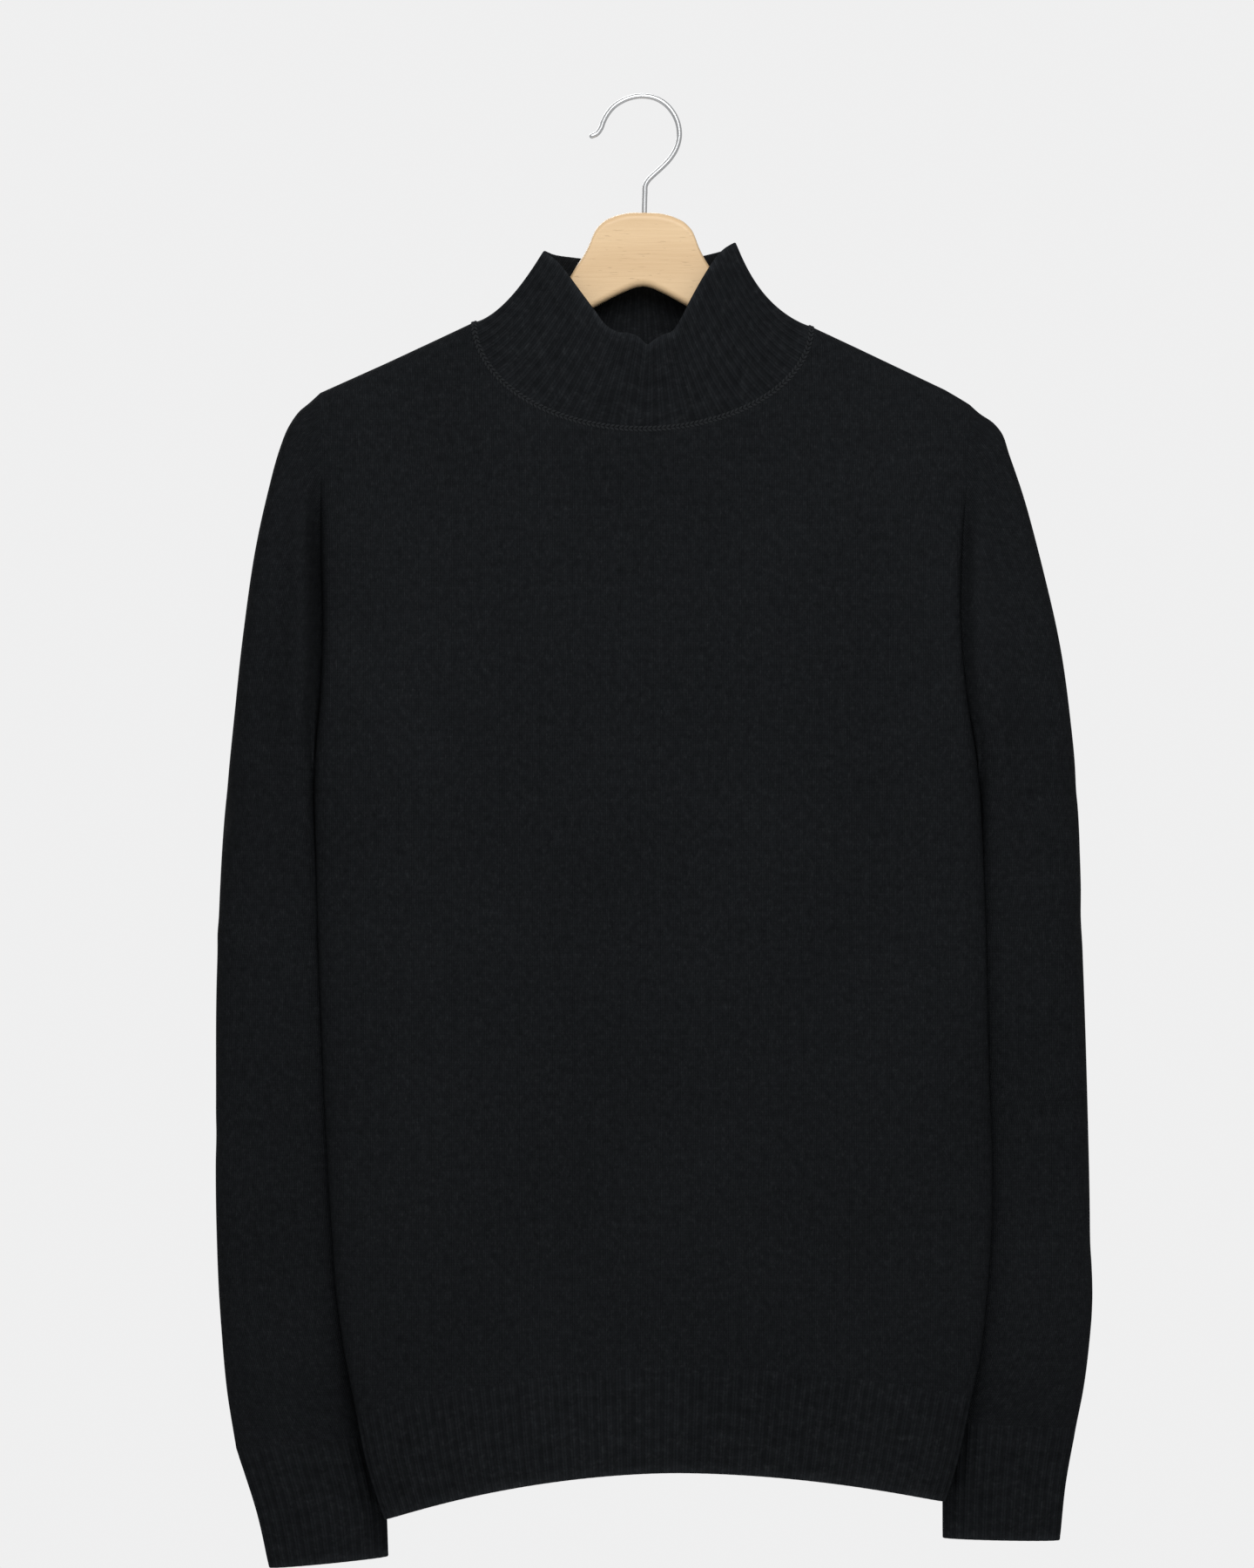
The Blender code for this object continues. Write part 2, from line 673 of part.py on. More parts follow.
def add_spline(curve, points, closed):
    spline = curve.splines.new("POLY")
    spline.points.add(len(points) - 1)
    for place, point in zip(spline.points, points):
        place.co = (point[0] * MM, point[1] * MM, point[2] * MM, 1.0)
    spline.use_cyclic_u = closed


def make_hanger(name, material, group, cutters):
    half = hanger_half_outline()
    outline = half + [(-x, z) for x, z in reversed(half[1:-1])]
    inset = inset_outline(outline, HANGER_EDGE_ROUND)
    curve = bpy.data.curves.new(name, "CURVE")
    curve.dimensions = "2D"
    curve.fill_mode = "BOTH"
    curve.extrude = (HANGER_THICKNESS / 2 - HANGER_EDGE_ROUND) * MM
    curve.bevel_depth = HANGER_EDGE_ROUND * MM
    curve.bevel_resolution = 1
    add_spline(curve, [(x, z, 0.0) for x, z in inset], closed=True)
    curve.materials.append(material)
    flat = bpy.data.objects.new(name, curve)
    flat.rotation_euler = (math.pi / 2, 0.0, 0.0)
    group.objects.link(flat)
    board = mesh_from_curve(flat, group)
    board.rotation_euler = (math.pi / 2, HANGER_TILT, 0.0)

    bore_radius = WIRE_DIAMETER / 2 + STEM_BORE_CLEARANCE
    bore_top, bore_foot = STEM_BEND_Z, STEM_FOOT_Z - STEM_BORE_CLEARANCE
    bpy.ops.mesh.primitive_cylinder_add(
        vertices=16, radius=bore_radius * MM, depth=(bore_top - bore_foot) * MM,
        location=tilted(0.0, 0.0, (bore_top + bore_foot) / 2), rotation=(0.0, HANGER_TILT, 0.0))
    bore = bpy.context.object
    bore.name = "stem_bore_cutter"
    for holder in list(bore.users_collection):
        holder.objects.unlink(bore)
    cutters.objects.link(bore)
    bore.hide_render = True
    bore.display_type = "WIRE"
    cut = board.modifiers.new("stem bore", "BOOLEAN")
    cut.object = bore
    cut.operation = "DIFFERENCE"
    cut.solver = "EXACT"
    board.data.shade_smooth()
    board.data.set_sharp_from_angle(angle=math.radians(50))
    return board


def tilted(x, y, z):
    """A point of the hanger's own frame, in metres, after its tilt about the hook."""
    turned_x = x * math.cos(HANGER_TILT) + z * math.sin(HANGER_TILT)
    turned_z = -x * math.sin(HANGER_TILT) + z * math.cos(HANGER_TILT)
    return (turned_x * MM, y * MM, turned_z * MM)


def make_hook(name, material, group):
    inside = HOOK_RADIUS - WIRE_DIAMETER / 2
    centre_z = -math.sqrt(inside * inside - HOOK_CENTRE_X * HOOK_CENTRE_X)
    path = []
    for step in range(25):
        turn = mix(HOOK_TIP_ANGLE, HOOK_LEAVE_ANGLE, step / 24)
        path.append((HOOK_CENTRE_X + HOOK_RADIUS * math.cos(turn), centre_z + HOOK_RADIUS * math.sin(turn)))
    leave_x, leave_z = path[-1]
    heading_x = leave_x + 6.0 * math.sin(HOOK_LEAVE_ANGLE)
    heading_z = leave_z - 6.0 * math.cos(HOOK_LEAVE_ANGLE)
    for step in range(1, 5):
        share = step / 4
        x = (1 - share) ** 2 * leave_x + 2 * share * (1 - share) * heading_x
        z = (1 - share) ** 2 * leave_z + 2 * share * (1 - share) * heading_z + share ** 2 * STEM_BEND_Z
        path.append((x, z))
    path.append((0.0, STEM_FOOT_Z))
    curve = bpy.data.curves.new(name, "CURVE")
    curve.dimensions = "3D"
    curve.bevel_depth = WIRE_DIAMETER / 2 * MM
    curve.bevel_resolution = 2
    curve.use_fill_caps = True
    add_spline(curve, [(x, 0.0, z) for x, z in path], closed=False)
    curve.materials.append(material)
    made = bpy.data.objects.new(name, curve)
    made.rotation_euler = (0.0, HANGER_TILT, 0.0)
    group.objects.link(made)
    return made


def main():
    clear_scene()
    group = new_collection("turtleneck_sweater_on_wooden_hanger")
    cutters = new_collection("cutters")
    knit = plain_material("charcoal_knit", KNIT_COLOUR, 0.95, 0.0)
    ribs = plain_material("charcoal_rib_knit", KNIT_COLOUR, 0.95, 0.0)
    wood = plain_material("pale_wood", WOOD_COLOUR, 0.45, 0.0)
    steel = plain_material("steel_wire", STEEL_COLOUR, 0.25, 1.0)
    make_panel("front", -1, knit, group)
    make_panel("back", 1, knit, group)
    make_sleeve("sleeve_left", -1, LEFT_SLEEVE_RINGS, knit, group)
    make_sleeve("sleeve_right", 1, RIGHT_SLEEVE_RINGS, knit, group)
    make_collar("collar", ribs, group)
    make_cuff("cuff_left", LEFT_CUFF, ribs, group)
    make_cuff("cuff_right", RIGHT_CUFF, ribs, group)
    make_hem("hem_front", -1, ribs, group)
    make_hem("hem_back", 1, ribs, group)
    make_hanger("hanger", wood, group, cutters)
    make_hook("hook", steel, group)


if __name__ == "__main__":
    main()
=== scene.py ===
"""A charcoal fine-knit turtleneck sweater hung on a wooden hanger, dressed round its solid model.

Lengths in the tables are millimetres and become metres when a mesh is made.  X runs to the
right as the sweater's front is looked at, Y from the front to the back and Z up.  The origin
is inside the hook's bend, straight above its stem.
"""

import math

import bpy
import numpy as np
from bpy.props import FloatProperty, FloatVectorProperty, PointerProperty
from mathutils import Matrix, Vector


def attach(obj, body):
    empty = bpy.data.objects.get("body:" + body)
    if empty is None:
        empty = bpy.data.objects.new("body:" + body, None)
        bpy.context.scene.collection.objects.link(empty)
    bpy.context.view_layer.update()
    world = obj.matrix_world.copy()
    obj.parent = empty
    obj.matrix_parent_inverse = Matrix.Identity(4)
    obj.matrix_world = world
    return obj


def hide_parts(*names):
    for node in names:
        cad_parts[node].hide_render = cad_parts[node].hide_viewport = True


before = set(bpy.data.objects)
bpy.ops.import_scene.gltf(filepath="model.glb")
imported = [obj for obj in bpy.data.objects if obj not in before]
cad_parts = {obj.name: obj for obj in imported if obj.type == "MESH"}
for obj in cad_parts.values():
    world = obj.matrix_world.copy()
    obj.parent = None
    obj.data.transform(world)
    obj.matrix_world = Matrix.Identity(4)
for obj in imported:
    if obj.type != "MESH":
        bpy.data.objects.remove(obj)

bl_info = {
    "name": "Knitted Sweater on a Hanger",
    "version": (1, 0, 0),
    "blender": (4, 5, 0),
    "location": "3D View > Sidebar > Sweater",
    "description": "Knits a turtleneck sweater piece by piece and hangs it on a wooden hanger",
    "category": "Add Mesh",
}

MM = 0.001

# ---------------------------------------------------------------- the hanger's sizes

HANGER_TILT = math.radians(0.9)
HANGER_THICKNESS = 12.0
HANGER_EDGE_ROUND = 3.8
ARM_SLOPE = 0.46
ARM_SEAT_DROP = 2.2
ARM_APEX_Z = -87.0
ARM_HEIGHT = 22.0
# The arm's tip: where it ends, over what length it rounds off, and half its depth at the end
ARM_END_X, ARM_END_ROUND, ARM_END_HALF_DEPTH = 184.0, 12.0, 1.5
# Past this distance the arm's lower edge is lifted by this much
ARM_LIFT_X, ARM_LIFT = 175.0, 8.0
# The table of the wood's edges has this many rows down the arm, from this distance out
ARM_ROWS, ARM_FIRST_X = 13, 60.0
# The arm dips clear of the neckline: depth, place and reach
NECK_DIP, NECK_DIP_X, NECK_DIP_REACH = 8.0, 92.0, 24.0
# Upper and lower edges of the hanger's head: distance from its middle, and height
HEAD_TOP = ((0.0, -65.5), (10.0, -66.0), (18.0, -68.2), (24.5, -72.0), (28.5, -77.0),
            (31.5, -84.5), (34.8, -91.0), (38.5, -96.8), (43.0, -104.5), (50.0, -110.8))
HEAD_ARCH = ((0.0, -107.8), (4.0, -108.4), (10.0, -110.8), (20.0, -115.9), (30.0, -121.6),
             (42.0, -129.0))
# Where the head's stations end, stations of the head, arm and tip, and points of a corner
HEAD_REACH, HEAD_STATIONS, ARM_STATIONS, TIP_STATIONS = 56.0, 72, 60, 16
CORNER_POINTS = 7
# Largest share of half a side that a corner's rounding takes, and the flat faces' border
ROUND_SHARE, FACE_BORDER = 0.9, 0.5

# The hook's wire: its diameter, the places round it and the rings along it
WIRE_DIAMETER, WIRE_PLACES, WIRE_RINGS = 3.0, 20, 170
# Its rounded tip: rings, and the angle of the smallest from the wire's axis
WIRE_TIP_RINGS, WIRE_TIP_ANGLE = 6, 0.08
# The wire's middle from its open tip, over the rail and down its stem, as x and z
HOOK_BEND = (
    (-31.2, -21.3), (-28.6, -20.2), (-26.2, -17.2), (-24.6, -13.0), (-22.2, -8.6), (-18.4, -4.2),
    (-13.2, -0.9), (-7.0, 1.2), (-0.6, 1.6), (5.8, 0.2), (11.6, -3.4), (16.0, -8.8),
    (18.6, -15.4), (19.0, -22.4), (17.0, -29.2), (13.4, -34.8), (8.8, -39.6), (4.4, -43.6),
    (1.2, -46.8), (-0.4, -49.6), (-0.7, -54.0), (-0.9, -60.0), (-1.1, -70.0), (-1.2, -79.0),
)

# ---------------------------------------------------------------- the sweater's sizes

NECK_CENTRE_X = -2.0
NECK_HALF_WIDTH = 97.0
NECK_FRONT_Z = -190.5
NECK_BACK_Z = -151.0

SHOULDER_TIP_Z = -170.0
SHOULDER_ROUND = 9.0
SHOULDER_DRAPE = 90.0
# How far the cloth stands off the hanger's straight arms: places across, then heights
SHOULDER_LIFT_X = (-190.0, -150.0, -122.0, -98.0, -50.0, 0.0,
                   50.0, 92.0, 120.0, 172.0, 182.0, 188.0)
SHOULDER_LIFT = (0.0, 0.3, 1.0, 1.7, 0.6, 0.0, 0.7, 2.2, 2.5, 2.7, 1.7, 0.9)

UNDERARM_Z = -385.0
ARMHOLE_HALF_DEPTH = 18.0
ARMHOLE_CLOSING = 0.7
SIDE_SEAM_Y = -10.0

# The cloth folds back behind the body's edge below the shoulder: where the fold starts, over
# what height it grows, its depths as shares of half the armhole's, how far out on the sleeve
# it reaches and how sharply it falls off there
TUCK_START_Z, TUCK_RUN = -192.0, 66.0
TUCK_LEFT, TUCK_RIGHT, TUCK_BACK = 1.0, 0.55, 0.25
TUCK_REACH_LEFT, TUCK_REACH_RIGHT, TUCK_FALL = 7.2, 5.5, 2.4

# How square the body's section is on the shoulder, where it is folded, and below the
# underarm, the bend of its flanks there, and where it changes
FULL_SHOULDER, FULL_FOLDED, FULL_BELOW, FULL_BEND = 9.0, 52.0, 11.0, 0.45
FULL_START_Z, FULL_RUN = UNDERARM_Z + 60.0, 110.0

# How square a sleeve's section is: 2 is an oval, more is flatter in front and behind
SLEEVE_SQUARE, SLEEVE_OVAL = 3.6, 2.0
# The power that fills out the sides of the first rings, over how many it comes in, and over
# how many the last ones turn into the cuff's oval
SLEEVE_FILL, FILL_RINGS, OVAL_RINGS = 0.6, 3.0, 3.0
# How closely each ring below the armhole follows the bend of the armhole's line
ARMHOLE_FOLLOW = (1.0, 0.96, 0.88, 0.72, 0.5, 0.26, 0.08)
# Shares of the way down the armhole, for even steps round the sleeve from its ridge
ARMHOLE_SHARES = (0.0, 0.018, 0.042, 0.068, 0.13, 0.25, 0.41, 0.58, 0.75, 0.89, 1.0)

HEM_RIB_HEIGHT = 60.0
HEM_TOP_X = 17.0
HEM_TOP_Z = -788.0
HEM_SIDE_Z = -808.0
HEM_ARCH_LEFT = 0.0024
HEM_ARCH_RIGHT = 0.0018
HEM_ARCH_POWER = 1.82

# Ribs round the collar and a cuff and across each half of the hem, and points to a rib
COLLAR_RIBS, CUFF_RIBS, HEM_RIBS_EACH, RIB_POINTS = 80, 30, 66, 8
# A rib's fullness, the share of it sunk in the cloth and the share that its inside follows
RIB_POWER, RIB_SINK, RIB_INSIDE = 0.8, 0.3, 0.6
# Height of a row of stitches in a rib, as a share of one in plain knit
RIB_COURSE = 1.25
# Ribs grow over a run from the seam and shrink over a run before a plain open edge, where
# their least share is left: run from the seam, plain edge, run to the edge, least share
COLLAR_RIB_RUNS = (5.0, 0.0, 4.0, 0.45)
BAND_RIB_RUNS = (7.0, 1.5, 3.0, 0.35)
COLLAR_ROWS, CUFF_ROWS, HEM_ROWS = 30, 34, 30

# The chain that joins the collar on: pitch, radius and lift of its loops, and how far the
# legs of a loop lean and stand apart
LINK_PITCH, LINK_RADIUS, LINK_LIFT, LINK_LEAN, LINK_SPREAD = 2.7, 0.8, 0.15, 0.45, 1.05
# A leg's length as a share of the pitch, its flatness, its blunt tips, rings and places
LEG_LENGTH, LEG_FLAT, LEG_TIP, LEG_RINGS, LEG_PLACES = 1.25, 0.8, 0.08, 6, 6
# Points of the chain's path, and how far ahead of a loop its heading is read
LINK_PATH_POINTS, LINK_AHEAD = 720, 0.5

# Points of a panel: across the neck, out to a side, down the armhole and down the side
NECK_STEPS, EDGE_STEPS, ARMHOLE_STEPS, SIDE_STEPS = 88, 44, 74, 118
# Above 1 these crowd points at the side edge, at the shoulder and at the sleeve's top
EDGE_CROWDING, SHOULDER_CROWDING, SLEEVE_CROWDING = 1.5, 1.25, 1.12
# A sleeve's rings, the places round each, and those round each tabled ring before it is thinned
SLEEVE_RINGS, SLEEVE_PLACES, SLEEVE_FINE = 200, 120, 1200
# Levels at which a sleeve's stitches are counted, and points along a fine curve
STITCH_LEVELS, OVAL_FINE, HEM_FINE = 260, 1441, 1601
# Steps round a rounded edge, how far the painted highlight along it reaches, and the share of that
# highlight on the inside
RIM_STEPS, HIGHLIGHT_REACH, HIGHLIGHT_INSIDE = 4, 5.0, 0.4
# Faces that meet at more than these degrees keep a sharp edge
CLOTH_SHARP, LINK_SHARP, HARD_SHARP = 62.0, 70.0, 50.0

# The body's left and right edges and the middles of its front and back, by height
BODY_COLUMNS = ("z", "left", "right", "front", "back")
BODY_SECTIONS = (
    (-170, -187.5, 186.5, -16, 14),
    (-215, -187.0, 184.6, -19, 17),
    (-260, -187.0, 181.4, -21, 19),
    (-300, -186.2, 180.8, -22, 20),
    (-340, -187.2, 183.6, -23, 21),
    (-385, -190.5, 190.5, -24, 23),
    (-445, -189.5, 194.0, -25, 24),
    (-545, -186.0, 196.5, -26, 25),
    (-645, -181.0, 198.5, -26, 25),
    (-690, -177.5, 195.5, -25, 24),
    (-727, -172.0, 191.0, -24, 22),
    (-750, -167.5, 186.0, -23, 21),
    (-786, -160.0, 178.0, -22, 19),
    (-820, -149.0, 167.0, -21, 18),
)

# A sleeve's rings: the first four columns are its own, and both sleeves share the depths
SLEEVE_COLUMNS = ("ridge_x", "ridge_z", "inner_x", "inner_z",
                  "ridge_y", "inner_y", "half_depth", "round")
LEFT_SLEEVE_RINGS = (
    (-193.4, -174.4, -190.4, -386.5),
    (-199.6, -179.5, -190.2, -389.5),
    (-206.1, -188.5, -190.0, -393.0),
    (-211.7, -202.0, -189.7, -397.5),
    (-218.6, -227.0, -189.2, -403.0),
    (-224.7, -255.0, -188.4, -410.0),
    (-232.1, -305.0, -187.4, -420.0),
    (-238.3, -365.0, -186.0, -436.0),
    (-244.4, -435.0, -183.5, -465.0),
    (-247.7, -505.0, -179.5, -515.0),
    (-248.2, -575.0, -175.0, -577.0),
    (-248.0, -645.0, -171.0, -645.0),
    (-245.3, -705.0, -167.0, -703.0),
    (-241.7, -745.0, -162.0, -739.0),
    (-236.5, -777.0, -158.0, -769.5),
)
RIGHT_SLEEVE_RINGS = (
    (191.6, -180.2, 190.4, -386.5),
    (200.0, -185.8, 190.4, -389.5),
    (205.6, -192.0, 190.5, -393.0),
    (210.4, -204.5, 190.6, -397.5),
    (218.3, -226.0, 190.4, -403.0),
    (226.6, -256.0, 190.2, -410.0),
    (237.0, -305.0, 190.0, -420.0),
    (244.5, -365.0, 190.0, -436.0),
    (249.5, -438.0, 190.0, -467.0),
    (252.5, -508.0, 190.0, -517.0),
    (254.7, -578.0, 190.5, -580.0),
    (256.1, -648.0, 190.0, -647.0),
    (256.0, -708.0, 184.5, -704.0),
    (252.5, -742.0, 177.0, -737.0),
    (248.0, -765.0, 171.5, -761.0),
)
SLEEVE_DEPTHS = (
    (0.5, -9.0, 20, 0.00),
    (2, -6.5, 23, 0.05),
    (4, -3.0, 26, 0.12),
    (6, 1.0, 29, 0.22),
    (9, 5.0, 32, 0.35),
    (12, 9.0, 34, 0.50),
    (16, 13.0, 35, 0.70),
    (19, 16.0, 35, 0.88),
    (21, 18.0, 34, 1.00),
    (21, 19.5, 32, 1.00),
    (21, 20.0, 30, 1.00),
    (20, 20.0, 28, 1.00),
    (18, 18.0, 25, 1.00),
    (16, 16.0, 21, 1.00),
    (14, 14.0, 15, 1.00),
)

# A cuff's ends and middle: outer x and z, inner x and z, half depth, y
LEFT_CUFF = (
    (-236.5, -777.0, -158.0, -769.5, 15.0, 14.0),
    (-224.8, -813.5, -150.5, -805.5, 13.0, 14.0),
    (-217.6, -845.4, -148.6, -838.6, 12.0, 14.0),
)
RIGHT_CUFF = (
    (248.0, -765.0, 171.5, -761.0, 15.0, 14.0),
    (242.2, -797.0, 171.0, -796.0, 13.0, 14.0),
    (238.8, -829.4, 171.0, -828.0, 12.0, 14.0),
)

# The collar's upper edge: degrees round the neck from the front, x, y, z
COLLAR_TOP = (
    (-180, -3.0, 21.0, -92.5),
    (-150, -24.0, 19.0, -92.5),
    (-120, -42.0, 13.0, -91.0),
    (-100, -54.5, 5.0, -89.4),
    (-90, -59.2, -1.0, -87.8),
    (-75, -51.4, -8.0, -94.6),
    (-50, -36.5, -15.0, -114.2),
    (-40, -30.0, -17.0, -123.0),
    (-30, -23.2, -18.5, -131.8),
    (-22, -16.5, -19.5, -135.6),
    (-14, -10.5, -20.5, -136.2),
    (-7, -4.8, -22.5, -138.6),
    (-1, 0.4, -24.5, -143.0),
    (5, 5.0, -23.0, -140.2),
    (12, 10.0, -21.0, -137.2),
    (20, 15.2, -19.5, -135.2),
    (29, 19.6, -18.3, -128.8),
    (40, 25.4, -17.0, -117.6),
    (50, 31.4, -15.0, -106.6),
    (75, 44.5, -8.0, -87.8),
    (90, 51.7, -1.0, -83.2),
    (100, 48.0, 5.0, -86.0),
    (120, 36.0, 13.0, -89.5),
    (150, 18.0, 19.0, -91.5),
    (180, -3.0, 21.0, -92.5),
)
# Its sides are drawn down and inward by these, at a share of the way up from the neckline
COLLAR_DROP_LEFT, COLLAR_DROP_RIGHT = 12.0, 9.0
COLLAR_FLARE_LEFT, COLLAR_FLARE_RIGHT, COLLAR_FLARE_SHARE = 1.5, 11.5, 0.4

# Soft creases: x and z of each end, half width, and how far it stands out (a ridge) or sinks
# in (a trough).  They run on past their ends by a share of their length, and fade out near
# a panel's sides, top edge and hem seam.
CREASE_TAIL = 0.25
CREASE_SIDE_SHARE, CREASE_TOP_RUN, CREASE_HEM_RUN = 0.06, 20.0, 14.0
FRONT_CREASES = (
    (-172, -300, -96, -392, 13, -1.5),
    (-176, -330, -128, -404, 8, 1.2),
    (166, -292, 96, -372, 13, -1.5),
    (172, -326, 140, -352, 6, -1.7),
    (176, -352, 118, -398, 9, 1.2),
    (-60, -205, -128, -330, 20, -1.4),
    (62, -206, 134, -318, 20, -1.3),
    (-14, -206, -8, -350, 26, 1.5),
    (-150, -452, -92, -458, 7, 0.9),
    (-158, -470, -104, -484, 8, -0.9),
    (52, -522, 124, -536, 8, 0.9),
    (118, -420, 142, -560, 20, 1.2),
    (-128, -560, -138, -716, 16, 1.3),
    (-92, -590, -98, -722, 13, -1.0),
    (36, -600, 30, -724, 18, 1.0),
    (96, -590, 104, -720, 15, -1.2),
    (148, -560, 150, -716, 13, 1.1),
)
BACK_CREASES = (
    (-168, -286, -84, -388, 14, -1.8),
    (-174, -332, -120, -412, 9, 1.3),
    (170, -290, 92, -380, 14, -1.7),
    (172, -340, 122, -418, 9, 1.3),
    (-66, -180, -120, -310, 20, -1.3),
    (58, -182, 118, -304, 20, -1.4),
    (0, -176, 4, -330, 28, 1.6),
    (-40, -380, -52, -520, 20, -1.1),
    (64, -400, 52, -540, 18, 1.1),
    (-118, -520, -126, -716, 16, 1.3),
    (-60, -570, -70, -724, 14, -1.1),
    (12, -580, 18, -724, 16, 1.0),
    (88, -560, 98, -720, 15, -1.2),
    (146, -540, 148, -716, 14, 1.2),
)
# On a sleeve each end is degrees round from the ridge and distance down, and a degree counts
# as this length.  They fade out below the shoulder and above the cuff.
TURN_LENGTH, CREASE_SHOULDER_RUN, CREASE_CUFF_RUN = 0.6, 60.0, 12.0
LEFT_SLEEVE_CREASES = (
    (-78, 214, -20, 246, 9, -1.5),
    (-84, 238, -30, 276, 8, 1.2),
    (-70, 318, -8, 330, 8, -1.2),
    (-86, 342, -34, 336, 7, 1.0),
    (-60, 470, -6, 478, 8, -0.9),
    (-30, 120, -10, 300, 12, 1.2),
    (-58, 520, -50, 600, 7, -1.3),
    (-20, 510, -28, 604, 8, 1.1),
    (70, 220, 22, 262, 10, -1.6),
    (84, 330, 24, 322, 9, 1.2),
    (60, 430, 14, 446, 9, -1.2),
    (40, 520, 48, 600, 8, 1.2),
    (150, 300, 100, 330, 10, -1.3),
)
RIGHT_SLEEVE_CREASES = (
    (80, 208, 24, 240, 9, -1.5),
    (84, 236, 34, 268, 8, 1.2),
    (84, 422, 34, 417, 5, -1.7),
    (80, 408, 38, 403, 6, 1.0),
    (62, 300, 16, 316, 8, -1.0),
    (34, 130, 12, 290, 12, 1.2),
    (56, 520, 50, 596, 7, -1.3),
    (22, 508, 28, 600, 8, 1.1),
    (-70, 214, -22, 256, 10, -1.6),
    (-84, 326, -20, 336, 9, 1.2),
    (-62, 440, -12, 430, 9, -1.3),
    (-42, 520, -48, 600, 8, 1.2),
    (-150, 310, -100, 326, 10, -1.3),
)

# ---------------------------------------------------------------- the studio, in metres

FLOOR_RINGS, FLOOR_PLACES, FLOOR_RADIUS, FLOOR_Z = 10, 96, 4.0, -1.45
# Each light's name, setting, place and diameter
LIGHTS = (
    ("key_light", "key", (0.13, -1.4, 0.72), 1.3),
    ("rear_light", "rear", (-0.4, 1.4, 0.7), 1.4),
)
LIGHT_TARGET = (0.0, 0.0, -0.3)
# The camera looks level toward +Y from here; its sensor width is in millimetres
CAMERA_X, CAMERA_Z = -0.011, -0.394
SENSOR_WIDTH, CLIP_NEAR, CLIP_FAR = 36.0, 0.05, 60.0
# The view's height is taken this far in front of the origin
FRONT_PLANE = 0.01


# ---------------------------------------------------------------- settings


class SweaterKnit(bpy.types.PropertyGroup):
    """The yarn and its knitting."""

    wall: FloatProperty(
        name="Thickness", description="Thickness of the knitted cloth",
        default=0.0015, min=0.0008, max=0.003, subtype="DISTANCE", unit="LENGTH")
    wale: FloatProperty(
        name="Stitch width", description="Width of one column of stitches",
        default=0.0019, min=0.001, max=0.004, subtype="DISTANCE", unit="LENGTH")
    course: FloatProperty(
        name="Stitch height", description="Height of one row of stitches",
        default=0.0015, min=0.0008, max=0.004, subtype="DISTANCE", unit="LENGTH")
    rib_raise: FloatProperty(
        name="Rib depth", description="How far a rib stands out of the groove beside it",
        default=0.00048, min=0.0, max=0.002, subtype="DISTANCE", unit="LENGTH")
    relief: FloatProperty(
        name="Stitch relief", description="Depth of the stitches in the surface",
        default=0.00035, min=0.0, max=0.001, subtype="DISTANCE", unit="LENGTH")
    crease: FloatProperty(
        name="Creases", description="Share of the full depth of the soft creases",
        default=1.0, min=0.0, max=2.0, subtype="FACTOR")
    yarn: FloatVectorProperty(
        name="Yarn", description="Main colour of the yarn",
        default=(0.0112, 0.0124, 0.0140), min=0.0, max=1.0, size=3, subtype="COLOR")
    fleck: FloatVectorProperty(
        name="Flecks", description="Colour of the paler fibres spun into the yarn",
        default=(0.030, 0.0325, 0.035), min=0.0, max=1.0, size=3, subtype="COLOR")
    linking: FloatVectorProperty(
        name="Linking", description="Colour of the linking stitches at the neckline",
        default=(0.0188, 0.0203, 0.0220), min=0.0, max=1.0, size=3, subtype="COLOR")


class SweaterHanger(bpy.types.PropertyGroup):
    """The wood and the wire."""

    wood: FloatVectorProperty(
        name="Wood", description="Colour of the wood between its grain lines",
        default=(0.825, 0.598, 0.352), min=0.0, max=1.0, size=3, subtype="COLOR")
    grain: FloatVectorProperty(
        name="Grain", description="Colour of the wood's darker grain",
        default=(0.66, 0.44, 0.235), min=0.0, max=1.0, size=3, subtype="COLOR")
    steel: FloatVectorProperty(
        name="Wire", description="Colour of the steel wire",
        default=(0.74, 0.75, 0.76), min=0.0, max=1.0, size=3, subtype="COLOR")
    lacquer: FloatProperty(
        name="Lacquer", description="How much satin lacquer lies on the wood",
        default=0.25, min=0.0, max=1.0, subtype="FACTOR")


class SweaterStudio(bpy.types.PropertyGroup):
    """Backdrop, lights and camera."""

    backdrop: FloatVectorProperty(
        name="Backdrop", description="Colour of the surroundings",
        default=(0.866, 0.866, 0.868), min=0.0, max=1.0, size=3, subtype="COLOR")
    fill: FloatProperty(
        name="Fill light", description="Brightness of the soft light from all round",
        default=0.42, min=0.0, max=5.0)
    key: FloatProperty(
        name="Key light", description="Power of the large soft light above the front",
        default=19.5, min=0.0, max=500.0, unit="POWER")
    rear: FloatProperty(
        name="Rear light", description="Power of the soft light above the back",
        default=17.0, min=0.0, max=500.0, unit="POWER")
    distance: FloatProperty(
        name="Camera distance", description="How far the camera stands in front",
        default=5.0, min=1.0, max=10.0, subtype="DISTANCE", unit="LENGTH")
    view_height: FloatProperty(
        name="View height", description="Height of what the camera takes in at the sweater",
        default=0.90, min=0.3, max=3.0, subtype="DISTANCE", unit="LENGTH")


# ---------------------------------------------------------------- curves and blends


def mix(low, high, share):
    return low + (high - low) * share


def ease(share):
    """Smooth rise from 0 to 1."""
    held = np.clip(share, 0.0, 1.0)
    return held * held * (3.0 - 2.0 * held)


def unit(vectors):
    return vectors / np.maximum(np.linalg.norm(vectors, axis=-1, keepdims=True), 1e-12)


